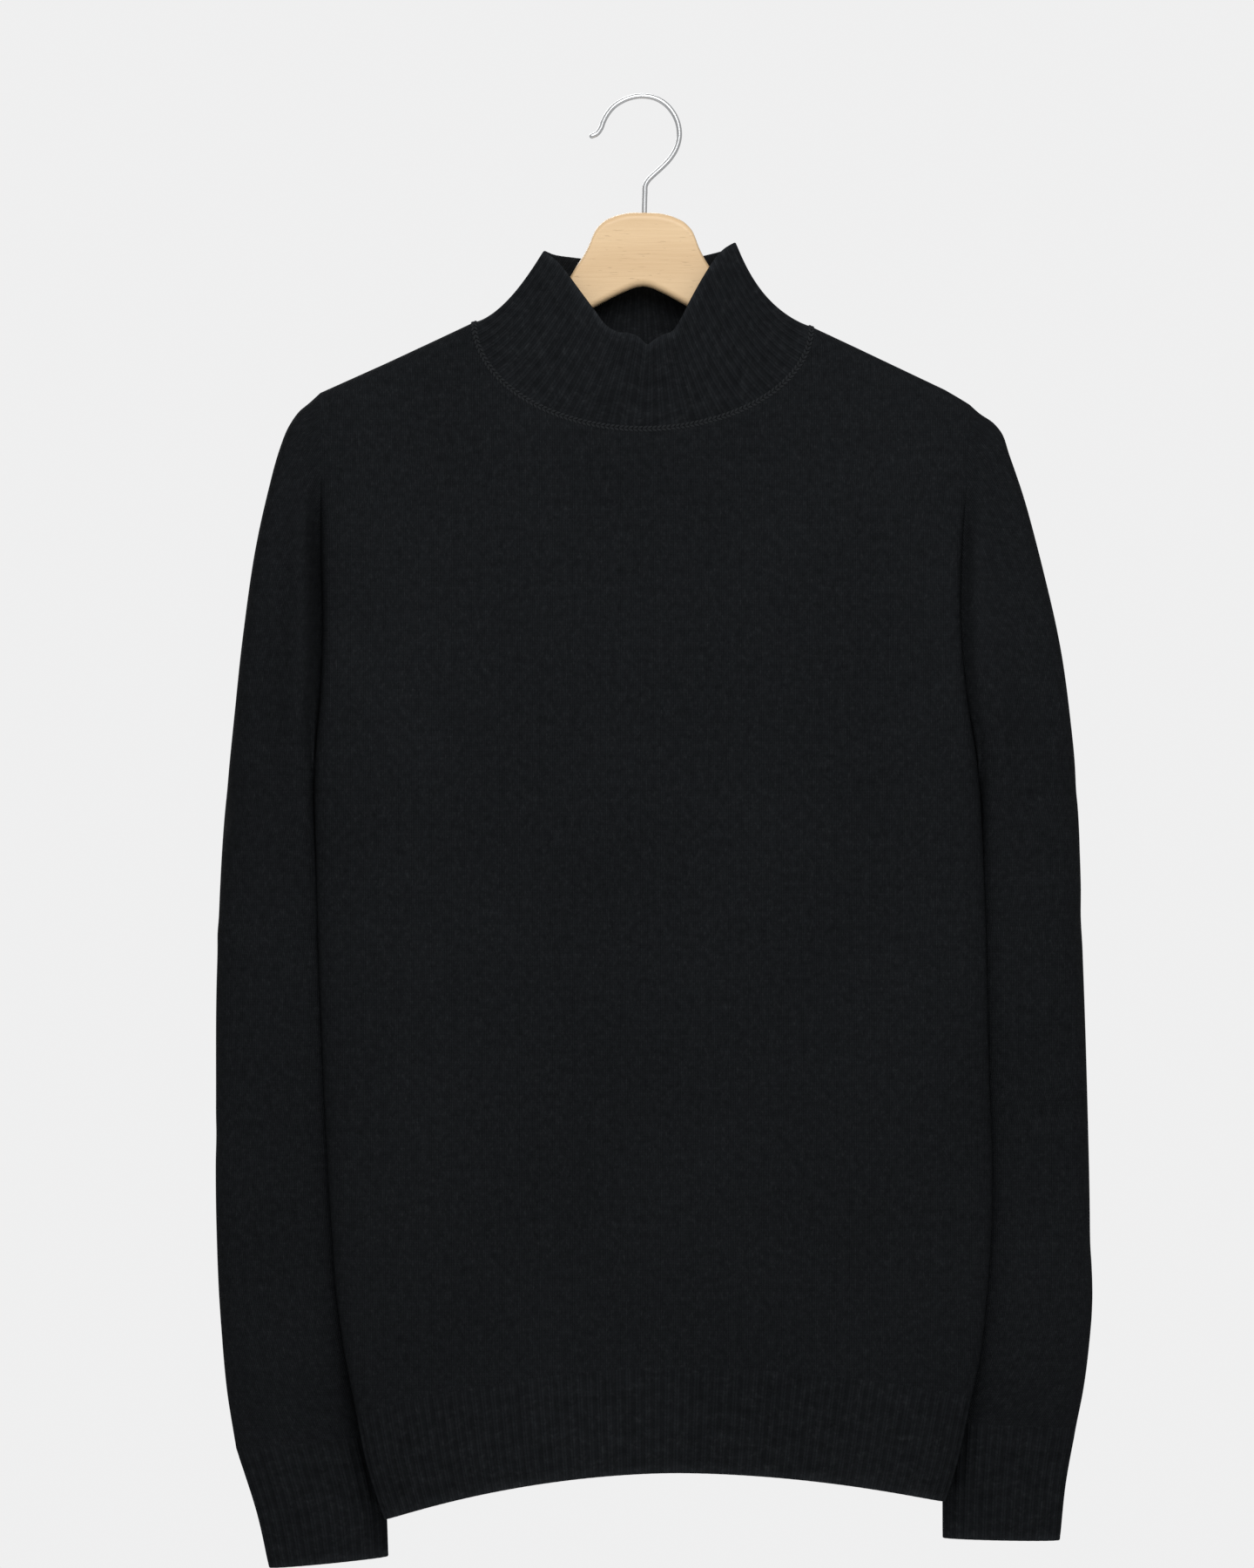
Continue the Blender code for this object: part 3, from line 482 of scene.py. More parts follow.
def through(keys, values, at):
    """A smooth curve through a table's rows, keys rising."""
    at = np.clip(at, keys[0], keys[-1])
    slopes = np.gradient(values, keys, axis=0)
    row = np.clip(np.searchsorted(keys, at) - 1, 0, len(keys) - 2)
    span = keys[row + 1] - keys[row]
    share = (at - keys[row]) / span
    if np.ndim(values) > 1:
        extra = (1,) * (np.ndim(values) - 1)
        span = span.reshape(span.shape + extra)
        share = share.reshape(share.shape + extra)
    square = share * share
    cube = square * share
    return (
        (2 * cube - 3 * square + 1) * values[row]
        + (cube - 2 * square + share) * span * slopes[row]
        + (3 * square - 2 * cube) * values[row + 1]
        + (cube - square) * span * slopes[row + 1]
    )


def interpolated(at, keys, rows):
    """Rows of values read between their rising keys."""
    return np.stack([np.interp(at, keys, part) for part in rows.T], axis=-1)


def run_length(points):
    """Distance along rows of points, starting from 0."""
    steps = np.linalg.norm(np.diff(points, axis=0), axis=-1)
    return np.concatenate([np.zeros_like(steps[:1]), np.cumsum(steps, axis=0)])


# ---------------------------------------------------------------- the body's form


def body_size(name, z):
    rows = np.array(BODY_SECTIONS, dtype=float)[::-1]
    return through(rows[:, 0], rows[:, BODY_COLUMNS.index(name)], z)


def side_x(across, z):
    """X of a share of the way from the middle to the left (-1) or right (1) edge."""
    edge = np.where(across < 0, body_size("left", z), body_size("right", z))
    return np.abs(across) * edge


def shoulder_z(x):
    """Height of the ridge where the cloth lies over the tilted hanger."""
    lift = np.interp(x, SHOULDER_LIFT_X, SHOULDER_LIFT)
    apex_x = ARM_APEX_Z * math.sin(HANGER_TILT)
    turn = np.where(x > apex_x, HANGER_TILT, -HANGER_TILT)
    slope = np.tan(math.atan(ARM_SLOPE) + turn)
    return ARM_APEX_Z - slope * np.abs(x - apex_x) + lift


def hem_edge_z(x):
    arch = np.where(x < HEM_TOP_X, HEM_ARCH_LEFT, HEM_ARCH_RIGHT)
    return HEM_TOP_Z - arch * np.abs(x - HEM_TOP_X) ** HEM_ARCH_POWER


def tuck_share(z):
    return ease((TUCK_START_Z - z) / TUCK_RUN)


def armhole_depth(z, tip_z):
    """Half the armhole's opening from front to back, and its middle, at a height."""
    down = np.clip((tip_z - z) / (tip_z - UNDERARM_Z), 0.0, 1.0)
    half = mix(SHOULDER_ROUND, ARMHOLE_HALF_DEPTH, np.sin(np.pi * down))
    closing = np.clip((down - ARMHOLE_CLOSING) / (1.0 - ARMHOLE_CLOSING), 0.0, 1.0)
    return half * np.sqrt(1.0 - closing * closing), SIDE_SEAM_Y * ease(down)


def tuck_depth(face, across):
    """Share of the armhole's half depth that the fold takes up at each side."""
    return np.where(across < 0, TUCK_LEFT, TUCK_RIGHT) if face < 0 else TUCK_BACK


def side_edge_y(face, across, z, tip_z, tucked=True):
    """Y of the panel's edge: open round the armhole, closed along the side seam."""
    half, middle = armhole_depth(z, tip_z)
    share = tuck_depth(face, across) if tucked else 0.0
    return middle + face * half * (1.0 - share * tuck_share(z))


def hang_share(drop):
    """From 0 on the shoulder to 1 where the cloth hangs free."""
    return ease((drop - SHOULDER_ROUND) / SHOULDER_DRAPE)


def edge_fold(face, side, z, tip_z):
    """How far the fold moves a panel's edge toward the other panel."""
    half, _ = armhole_depth(z, tip_z)
    return -face * half * tuck_depth(face, side) * tuck_share(z) * hang_share(tip_z - z)


def fullness(across, z):
    """How far out the panel stands at a share of its half width, from 1 to 0."""
    below = ease((FULL_START_Z - z) / FULL_RUN)
    folded = tuck_share(z)
    power = mix(mix(FULL_SHOULDER, FULL_FOLDED, folded), FULL_BELOW, below)
    bend = mix(1.0, FULL_BEND, np.maximum(below, folded))
    return np.maximum(0.0, 1.0 - np.abs(across) ** power) ** bend


def ridge_path(along):
    """Drop below the shoulder ridge and run away from it, by distance over the cloth."""
    quarter = SHOULDER_ROUND * math.pi / 2
    angle = np.minimum(along, quarter) / SHOULDER_ROUND
    past = np.maximum(along - quarter, 0.0)
    return SHOULDER_ROUND * (1 - np.cos(angle)) + past, SHOULDER_ROUND * np.sin(angle)


def along_for_drop(drop):
    near = SHOULDER_ROUND * np.arccos(np.clip(1 - drop / SHOULDER_ROUND, 0.0, 1.0))
    far = drop - SHOULDER_ROUND + SHOULDER_ROUND * math.pi / 2
    return np.where(drop < SHOULDER_ROUND, near, far)


def body_point(face, across, along, tucked=True):
    """Outer surface of the front (face -1) or back (face 1) panel."""
    drop, away = ridge_path(along)
    z = shoulder_z(side_x(across, SHOULDER_TIP_Z)) - drop
    tip_z = shoulder_z(side_x(np.where(across < 0, -1.0, 1.0), SHOULDER_TIP_Z))
    edge = side_edge_y(face, across, z, tip_z, tucked)
    middle = body_size("front" if face < 0 else "back", z)
    standing = mix(edge, middle, fullness(across, z))
    y = mix(face * away, standing, hang_share(drop))
    return np.stack([side_x(across, z), y, z], axis=-1)


def neck_point_z(face, x):
    """Height of the neckline on one face, above a point across."""
    side = np.clip((x - NECK_CENTRE_X) / NECK_HALF_WIDTH, -1.0, 1.0)
    level = np.sqrt(np.maximum(0.0, 1.0 - side * side))
    side_z = shoulder_z(NECK_CENTRE_X + np.where(side < 0, -1, 1) * NECK_HALF_WIDTH)
    return mix(side_z, NECK_FRONT_Z if face < 0 else NECK_BACK_Z, level)


def along_at_height(across, z):
    return along_for_drop(shoulder_z(side_x(across, SHOULDER_TIP_Z)) - z)


def across_of_turn(degrees):
    """Share across the panel where the neckline stands at an angle round the neck."""
    x = NECK_CENTRE_X + NECK_HALF_WIDTH * np.sin(np.radians(degrees))
    edge = side_x(np.where(x < 0, -1.0, 1.0), SHOULDER_TIP_Z)
    return x / np.abs(edge)


def panel_columns():
    """Shares across a panel from left to right, closer together toward the sides."""
    neck = across_of_turn(np.linspace(-90.0, 90.0, NECK_STEPS + 1))
    out = 1.0 - (1.0 - np.linspace(0.0, 1.0, EDGE_STEPS + 1)[1:]) ** EDGE_CROWDING
    return np.concatenate([mix(neck[0], -1.0, out)[::-1], neck, mix(neck[-1], 1.0, out)])


def creased(rows, places, amount):
    """How far creases push each point out, from their table and each point's place."""
    push = np.zeros(places.shape[:2])
    for *ends, width, height in rows:
        start, end = np.array(ends[:2], float), np.array(ends[2:], float)
        line = end - start
        share = ((places - start) @ line) / (line @ line)
        nearest = start + np.clip(share, 0.0, 1.0)[..., None] * line
        aside = np.linalg.norm(places - nearest, axis=-1) / width
        fade = ease((share + CREASE_TAIL) / (2 * CREASE_TAIL))
        fade = fade * ease((1.0 + CREASE_TAIL - share) / (2 * CREASE_TAIL))
        push += height * amount * np.exp(-aside * aside) * fade
    return push


def panel_grid(face, crease):
    """Points of a panel, rows from the top edge down and columns left to right."""
    across = panel_columns()
    top_x = side_x(across, SHOULDER_TIP_Z)
    in_neck = np.abs(top_x - NECK_CENTRE_X) <= NECK_HALF_WIDTH + 1e-9
    start = np.where(in_neck, along_at_height(across, neck_point_z(face, top_x)), 0.0)
    under = along_at_height(across, UNDERARM_Z)
    seam_z = hem_edge_z(side_x(across, HEM_SIDE_Z)) + HEM_RIB_HEIGHT
    end = along_at_height(across, seam_z)
    shares = np.linspace(0.0, 1.0, ARMHOLE_STEPS + 1) ** SHOULDER_CROWDING
    upper = mix(start[None], under[None], shares[:, None])
    lower = mix(under[None], end[None], np.linspace(0.0, 1.0, SIDE_STEPS + 1)[1:, None])
    along = np.concatenate([upper, lower])
    spread = np.broadcast_to(across, along.shape)
    grid = body_point(face, spread, along)
    held = ease((1.0 - np.abs(spread)) / CREASE_SIDE_SHARE)
    held = held * ease((along - start) / CREASE_TOP_RUN) * ease((end - along) / CREASE_HEM_RUN)
    rows = FRONT_CREASES if face < 0 else BACK_CREASES
    grid[..., 1] += face * creased(rows, grid[..., (0, 2)], crease) * held
    if face > 0:
        grid, along, spread = grid[:, ::-1], along[:, ::-1], spread[:, ::-1]
    return grid, along, spread


def outward(grid, closed):
    """Outward unit normals of a grid of points."""
    down = np.gradient(grid, axis=0)
    if closed:
        round_way = np.roll(grid, -1, axis=1) - np.roll(grid, 1, axis=1)
    else:
        round_way = np.gradient(grid, axis=1)
    return unit(np.cross(down, round_way))


# ---------------------------------------------------------------- meshes


def add_object(name, data):
    made = bpy.data.objects.new(name, data)
    bpy.context.scene.collection.objects.link(made)
    return made


def add_mesh(name, points, faces, materials, sharp_degrees):
    """A smooth mesh from points in millimetres, with sharp edges where faces meet steeply."""
    mesh = bpy.data.meshes.new(name)
    mesh.from_pydata((points.reshape(-1, 3) * MM).tolist(), [], faces)
    for material in materials:
        mesh.materials.append(material)
    mesh.shade_smooth()
    mesh.set_sharp_from_angle(angle=math.radians(sharp_degrees))
    return add_object(name, mesh)


def point_values(mesh, name, values):
    """A number at each point of a mesh, for its materials."""
    layer = mesh.attributes.new(name, "FLOAT", "POINT")
    layer.data.foreach_set("value", values.astype(np.float32).ravel())


def tube_faces(rings, places):
    """Faces of a closed tube of rings, with an end face on each end."""
    faces = []
    for ring in range(rings - 1):
        for place in range(places):
            beside = (place + 1) % places
            faces.append((ring * places + place, ring * places + beside,
                          (ring + 1) * places + beside, (ring + 1) * places + place))
    faces.append(tuple(range(places))[::-1])
    faces.append(tuple(range((rings - 1) * places, rings * places)))
    return faces


def rim_arc(outer_row, inner_row, direction, rounded):
    """Rows that carry the cloth's edge round from its outer to its inner face."""
    if not rounded:
        return np.zeros((0,) + outer_row.shape)
    centre = (outer_row + inner_row) / 2
    half = (outer_row - inner_row) / 2
    reach = np.linalg.norm(half, axis=-1, keepdims=True)
    angles = [math.pi * step / RIM_STEPS for step in range(1, RIM_STEPS)]
    return np.array([centre + half * math.cos(angle) + direction * reach * math.sin(angle)
                     for angle in angles])


def side_rims(count, end_rows, columns):
    """Faces that close a wall's two sides, each between its outer and inner face."""
    rims = []
    for side in (0, columns - 1):
        for step in range(count - 1):
            out = step * columns + side
            back = (2 * count + end_rows - 1 - step) * columns + side
            rim = [out, back, back - columns, out + columns]
            rims.append(rim if side else rim[::-1])
        if end_rows:
            rim = [(count - 1 + step) * columns + side for step in range(end_rows + 2)]
            rims.append(rim[::-1] if side else rim)
    return rims


def edge_highlight_share(outer, open_edge):
    """How near each point of a wall lies to its open edge, from 0 to 1, for the painted highlight
    that lightens the edge.
    """
    run = run_length(outer)
    if not open_edge:
        return 0.0 * run
    near = run if open_edge == "top" else run[-1:] - run
    return np.clip(1.0 - near / HIGHLIGHT_REACH, 0.0, 1.0)


def cloth_shell(name, outer, inner, wales, courses, closed, open_edge, materials, ribbed=None):
    """A closed knitted wall between two grids, with its stitch places as a UV map.

    Wales has one more column than the grid when the cloth closes on itself.  Open_edge names
    the edge that is rounded, top, end or None.  Ribbed tells for each row how fully its ribs
    stand out.
    """
    end_way = unit(outer[-1] - outer[-2] + inner[-1] - inner[-2])
    top_way = unit(outer[0] - outer[1] + inner[0] - inner[1])
    end_arc = rim_arc(outer[-1], inner[-1], end_way, open_edge == "end")
    top_arc = rim_arc(inner[0], outer[0], top_way, open_edge == "top")
    points = np.concatenate([outer, end_arc, inner[::-1], top_arc])
    rows, columns = points.shape[:2]
    count = len(outer)
    if closed and wales.shape[1] == columns:
        raise ValueError(f"{name}: closed cloth needs the stitch count where it meets itself")

    def lay(values, inside=1.0):
        end_rows = np.repeat(values[-1:], len(end_arc), axis=0)
        top_rows = np.repeat(values[:1], len(top_arc), axis=0)
        return np.concatenate([values, end_rows, values[::-1] * inside, top_rows])

    across, down = lay(wales), lay(courses)
    if closed:
        down = np.concatenate([down, down[:, :1]], axis=1)

    def stitches(at_rows, at_columns):
        at = np.stack([across[at_rows, at_columns], down[at_rows, at_columns]], axis=-1)
        return at.reshape(-1, 2)

    spans = columns if closed else columns - 1
    row, place = (part.ravel() for part in np.indices((rows, spans)))
    below, beside = (row + 1) % rows, (place + 1) % columns
    faces = np.stack([row * columns + place, row * columns + beside,
                      below * columns + beside, below * columns + place], axis=1).tolist()
    uvs = stitches(np.stack([row, row, below, below], axis=1),
                   np.stack([place, place + 1, place + 1, place], axis=1))
    first_inside = count + len(end_arc)
    slots = ((row >= first_inside) & (row < first_inside + count - 1)).astype(np.int32)
    if not closed:
        rims = side_rims(count, len(end_arc), columns)
        corners = np.array([corner for rim in rims for corner in rim])
        uvs = np.concatenate([uvs, stitches(corners // columns, corners % columns)])
        slots = np.concatenate([slots, np.zeros(len(rims), np.int32)])
        faces += rims

    piece = add_mesh(name, points, faces, materials, CLOTH_SHARP)
    mesh = piece.data
    stitch = mesh.uv_layers.new(name="knit", do_init=False)
    stitch.uv.foreach_set("vector", uvs.astype(np.float32).ravel())
    # Open edges get a painted highlight: their colour is lightened near the edge, less on the
    # inside than the outside.
    point_values(mesh, "worn", lay(edge_highlight_share(outer, open_edge), HIGHLIGHT_INSIDE))
    if ribbed is not None:
        point_values(mesh, "ribbed", lay(np.broadcast_to(ribbed[:, None], outer.shape[:2])))
    mesh.polygons.foreach_set("material_index", slots)
    # Rows run down and columns to the right of the outer face, so its faces look inward
    mesh.flip_normals()
    return piece


def dress(piece, slot_name, *nodes):
    """Puts a piece on the frame in place of the solids that it stands for."""
    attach(piece, "root")
    if nodes:
        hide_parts(*nodes)


# ---------------------------------------------------------------- sleeves and ribs


def armhole_loop(side, turns):
    """The body's armhole edge before it folds, at angles round the sleeve from the underarm."""
    across = np.full(turns.shape, float(side))
    under = along_at_height(across, UNDERARM_Z)
    half_way = np.where(turns <= math.pi, turns / math.pi, 2.0 - turns / math.pi)
    keys = np.arange(len(ARMHOLE_SHARES), dtype=float)
    share = np.maximum(through(keys, np.array(ARMHOLE_SHARES)[::-1], half_way * keys[-1]), 0.0)
    front, back = (body_point(face, across, share * under, tucked=False) for face in (-1, 1))
    is_front = (turns <= math.pi) == (side > 0)
    return np.where(is_front[:, None], front, back)


def armhole_bow(side, z):
    """How far the body's edge stands off a straight line down the armhole."""
    top, foot = SHOULDER_TIP_Z, UNDERARM_Z
    edge = side_x(np.full(z.shape, float(side)), z)
    ends = side_x(np.full(2, float(side)), np.array([top, foot]))
    straight = mix(ends[0], ends[1], (z - top) / (foot - top))
    return np.where(z > foot, edge - straight, 0.0)


def squared_turn(turns, power):
    """Cosine and sine taken round a squarer circle."""
    cos, sin = np.cos(turns), np.sin(turns)
    reach = (np.abs(cos) ** power + np.abs(sin) ** power) ** (-1.0 / power)
    return cos * reach, sin * reach


def spaced(values, points, count):
    """Values at places spaced evenly along a row of points, both ends kept."""
    lengths = run_length(points)
    return interpolated(np.linspace(0.0, lengths[-1], count), lengths, values)


def even_ring(points, out):
    """A ring's points and its out values, spaced evenly on either side of the ridge."""
    values = np.concatenate([points, out[:, None]], axis=1)
    values = np.concatenate([values, values[:1]])
    middle, half = len(points) // 2, SLEEVE_PLACES // 2
    first = spaced(values[:middle + 1], values[:middle + 1, :3], half + 1)
    last = spaced(values[middle:], values[middle:, :3], half + 1)
    ring = np.concatenate([first[:-1], last[:-1]])
    return ring[:, :3], ring[:, 3]


def sleeve_rings(side, rings):
    """The sleeve's rings as tabled, with how far out of its middle each point stands."""
    fine = np.linspace(0.0, 2 * math.pi, SLEEVE_FINE, endpoint=False)
    plain = armhole_loop(side, fine)
    foot, tip = plain[0], plain[len(plain) // 2]
    rise = (plain[:, 2] - foot[2]) / (tip[2] - foot[2])
    spread = (plain[:, 1] - mix(foot[1], tip[1], rise)) / ARMHOLE_HALF_DEPTH
    laid = [even_ring(plain, spread)]
    for place, row in enumerate(rings):
        ring = dict(zip(SLEEVE_COLUMNS, row + SLEEVE_DEPTHS[place]))
        to_cuff = ease((place - len(rings) + 1.0 + OVAL_RINGS) / OVAL_RINGS)
        cos, sin = squared_turn(fine, mix(SLEEVE_SQUARE, SLEEVE_OVAL, to_cuff))
        share = mix(rise, (1 - cos) / 2, ring["round"])
        power = mix(1.0, SLEEVE_FILL, ease((place + 1.0) / FILL_RINGS))
        out = mix(np.sign(spread) * np.abs(spread) ** power, -side * sin, ring["round"])
        points = np.stack([
            mix(ring["inner_x"], ring["ridge_x"], share),
            mix(ring["inner_y"], ring["ridge_y"], share) + ring["half_depth"] * out,
            mix(ring["inner_z"], ring["ridge_z"], share),
        ], axis=-1)
        if place < len(ARMHOLE_FOLLOW):
            points[:, 0] += ARMHOLE_FOLLOW[place] * armhole_bow(side, points[:, 2])
        laid.append(even_ring(points, out))
    return (np.array(part) for part in zip(*laid))


def sleeve_grid(side, rings, creases, crease):
    """Rings of points from the armhole down to the cuff, and the distance down the ridge."""
    coarse, outs = sleeve_rings(side, rings)
    keys = run_length(coarse).mean(axis=1)
    at = keys[-1] * np.linspace(0.0, 1.0, SLEEVE_RINGS) ** SLEEVE_CROWDING
    grid, out = through(keys, coarse, at), through(keys, outs, at)

    # The cloth beside the armhole goes back with the body's folded edge
    tip_z = shoulder_z(side_x(float(side), SHOULDER_TIP_Z))
    edge_x = np.abs(side_x(np.full(grid.shape[:2], float(side)), grid[..., 2]))
    reach = TUCK_REACH_LEFT if side < 0 else TUCK_REACH_RIGHT
    clear = np.maximum(np.abs(grid[..., 0]) - edge_x, 0.0) / reach
    fold = np.where(out < 0, edge_fold(-1, side, grid[..., 2], tip_z),
                    edge_fold(1, side, grid[..., 2], tip_z))
    grid[..., 1] += fold * np.exp(-clear ** TUCK_FALL)

    ridge = run_length(grid)[:, SLEEVE_PLACES // 2]
    degrees = -side * (np.linspace(0.0, 360.0, SLEEVE_PLACES, endpoint=False) - 180.0)
    places = np.stack(np.broadcast_arrays(degrees * TURN_LENGTH, ridge[:, None]), axis=-1)
    rows = [(turn0 * TURN_LENGTH, down0, turn1 * TURN_LENGTH, *rest)
            for turn0, down0, turn1, *rest in creases]
    held = ease((ridge[-1] - ridge) / CREASE_CUFF_RUN) * ease(ridge / CREASE_SHOULDER_RUN)
    push = creased(rows, places, crease) * held[:, None]
    return grid + outward(grid, True) * push[..., None], ridge


def level_run(grid, columns, levels):
    """Distance round the sleeve at each level, from its first column to each of the others.

    A column that starts below a level takes the value at its start.
    """
    return run_length(np.array([interpolated(-levels, -grid[:, column, 2], grid[:, column, :2])
                                for column in columns]))


def sleeve_stitches(grid, ridge, knit):
    """Wales counted level round the sleeve from its ridge, and courses down it."""
    middle, count = grid.shape[1] // 2, grid.shape[1]
    levels = np.linspace(grid[:, middle, 2].max(), grid[..., 2].min(), STITCH_LEVELS)
    wales = np.zeros((len(grid), count + 1))
    for way in (-1, 1):
        columns = [(middle + way * step) % count for step in range(middle + 1)]
        run = level_run(grid, columns, levels)
        for step, column in enumerate(columns):
            reached = np.interp(-grid[:, column, 2], -levels, run[step])
            wales[:, middle + way * step] = way * reached
    courses = np.interp(-grid[..., 2], -grid[:, middle, 2], ridge)
    return wales / (knit.wale / MM), courses / (knit.course / MM)


def even_turns(count, half_width, half_depth):
    """Angles that part an ellipse into equal lengths."""
    fine = np.linspace(0, 2 * math.pi, OVAL_FINE)
    path = np.stack([half_width * np.cos(fine), half_depth * np.sin(fine)], axis=1)
    lengths = run_length(path)
    return np.interp(np.arange(count) * lengths[-1] / count, lengths, fine)


def rib_fade(from_seam, from_edge, runs):
    """How far ribs stand out, by the distances from the seam and from the open edge."""
    seam_run, plain, edge_run, least = runs
    return ease(from_seam / seam_run) * mix(least, 1.0, ease((from_edge - plain) / edge_run))


def cuff_grid(ends):
    """Rings of an oval cuff between its tabled ends."""
    at = np.linspace(0.0, 1.0, CUFF_ROWS)
    table = through(np.linspace(0.0, 1.0, len(ends)), np.array(ends), at)
    outer_x, outer_z, inner_x, inner_z, half_depth, y = table.T
    turns = even_turns(CUFF_RIBS * RIB_POINTS, abs(ends[0][0] - ends[0][2]) / 2, ends[0][4])
    side = math.copysign(1, ends[0][0])
    none = 0 * at
    centre = np.stack([(outer_x + inner_x) / 2, y, (outer_z + inner_z) / 2], axis=-1)
    right = np.stack([np.abs(outer_x - inner_x) / 2, none, side * (outer_z - inner_z) / 2], axis=-1)
    depth = np.stack([none, half_depth, none], axis=-1)
    return (centre[:, None] + right[:, None] * np.cos(turns)[None, :, None]
            + depth[:, None] * np.sin(turns)[None, :, None])


def hem_shares(face):
    """Shares across the hem that part its length evenly into ribs."""
    fine = np.linspace(-1, 1, HEM_FINE)
    level = HEM_TOP_Z + HEM_RIB_HEIGHT / 2
    path = body_point(face, fine, along_at_height(fine, np.full(fine.shape, level)))[:, :2]
    lengths = run_length(path)
    even = np.interp(np.linspace(0, lengths[-1], HEM_RIBS_EACH * RIB_POINTS + 1), lengths, fine)
    even[0], even[-1] = -1.0, 1.0
    return even if face < 0 else even[::-1]


def hem_grid(face):
    """Rows from the hem's seam down to its edge."""
    shares = hem_shares(face)
    edge = hem_edge_z(side_x(shares, HEM_SIDE_Z))
    levels = np.linspace(HEM_RIB_HEIGHT, 0.0, HEM_ROWS)
    along = along_at_height(shares[None], edge[None] + levels[:, None])
    return body_point(face, np.broadcast_to(shares, along.shape), along)


def neck_ring(degrees):
    """Neckline seam at angles round the neck, from -180 to 180 degrees."""
    across = across_of_turn(degrees)
    top_x = side_x(across, SHOULDER_TIP_Z)
    front, back = (body_point(face, across, along_at_height(across, neck_point_z(face, top_x)))
                   for face in (-1, 1))
    return np.where((np.abs(degrees) <= 90.0)[:, None], front, back)


def collar_degrees():
    count = COLLAR_RIBS * RIB_POINTS
    return -180.0 + 360.0 * np.arange(count) / count


def collar_grid():
    """The collar from its upper edge down to the neckline."""
    degrees = collar_degrees()
    foot = neck_ring(degrees)
    table = np.array(COLLAR_TOP, dtype=float)
    head = through(table[:, 0], table[:, 1:], degrees)
    sideways = np.sin(np.radians(degrees))
    flare = np.where(sideways < 0, -COLLAR_FLARE_LEFT, COLLAR_FLARE_RIGHT)
    drop = np.where(sideways < 0, COLLAR_DROP_LEFT, COLLAR_DROP_RIGHT)
    pull = np.stack([flare, 0 * sideways, drop], axis=-1)
    knee = mix(foot, head, COLLAR_FLARE_SHARE) - pull * (sideways ** 2)[:, None]
    rise = np.linspace(1.0, 0.0, COLLAR_ROWS)[:, None, None]
    return (1 - rise) ** 2 * foot + 2 * rise * (1 - rise) * knee + rise ** 2 * head


def plain_piece(name, grid, wales, courses, closed, knit):
    """A piece of plain knit on the frame, in place of the solid of its name."""
    inner = grid - outward(grid, closed) * knit.wall / MM
    finishes = [finish_once(f"charcoal_{kind}", knit_finish, knit, kind)
                for kind in ("knit", "purl")]
    piece = cloth_shell(f"knit_{name}", grid, inner, wales, courses, closed, None, finishes)
    dress(piece, "knit", name)


def ribbed_piece(name, grid, closed, open_edge, knit):
    """A ribbed piece on the frame, with ribs raised on both faces of its wall."""
    run = run_length(grid)
    down = run.mean(axis=1)
    up = down[-1] - down
    if open_edge == "top":
        fade = rib_fade(up, down, COLLAR_RIB_RUNS)
    else:
        fade = rib_fade(down, up, BAND_RIB_RUNS)
    rows, columns = grid.shape[:2]
    wave = (0.5 + 0.5 * np.cos(2 * math.pi * (np.arange(columns) / RIB_POINTS - 0.5))) ** RIB_POWER
    raised = (knit.rib_raise / MM * ((wave - RIB_SINK) * fade[:, None]))[..., None]
    normals = outward(grid, closed)
    outer = grid + normals * raised
    inner = grid - normals * (knit.wall / MM - RIB_INSIDE * raised)
    # Ribs are counted round the cloth, with a ridge half way between whole numbers
    wales = np.broadcast_to(np.arange(columns + closed) / RIB_POINTS, (rows, columns + closed))
    finish = finish_once("charcoal_rib", knit_finish, knit, "rib")
    piece = cloth_shell(f"rib_{name}", outer, inner, wales, run / (RIB_COURSE * knit.course / MM),
                        closed, open_edge, (finish, finish), fade)
    dress(piece, "rib_knit", name)


# ---------------------------------------------------------------- shader values


def math_node(operation, swapped=False):
    """A method of Value that adds one Math node."""
    def method(self, *others):
        terms = [*others, self] if swapped else [self, *others]
        return self.finish.node("ShaderNodeMath", {"operation": operation}, dict(enumerate(terms)))

    return method


class Value:
    """A shader socket that adds a Math node for each operator used on it."""

    def __init__(self, finish, socket):
        self.finish = finish
        self.socket = socket

    __add__ = __radd__ = math_node("ADD")
    __sub__ = math_node("SUBTRACT")
    __rsub__ = math_node("SUBTRACT", swapped=True)
    __mul__ = __rmul__ = math_node("MULTIPLY")
    __pow__ = math_node("POWER")
    sine = math_node("SINE")
    size = math_node("ABSOLUTE")
    floor = math_node("FLOOR")
    fraction = math_node("FRACT")
    at_least = math_node("MAXIMUM")

    def between(self, low, high):
        """Smooth rise from 0 at low to 1 at high."""
        settings = {"interpolation_type": "SMOOTHSTEP", "clamp": True}
        sockets = {"Value": self, "From Min": low, "From Max": high}
        return self.finish.node("ShaderNodeMapRange", settings, sockets)

    def parts(self):
        """The X, Y and Z of a vector."""
        made = self.finish.node("ShaderNodeSeparateXYZ", sockets={"Vector": self}).socket.node
        return [Value(self.finish, output) for output in made.outputs]


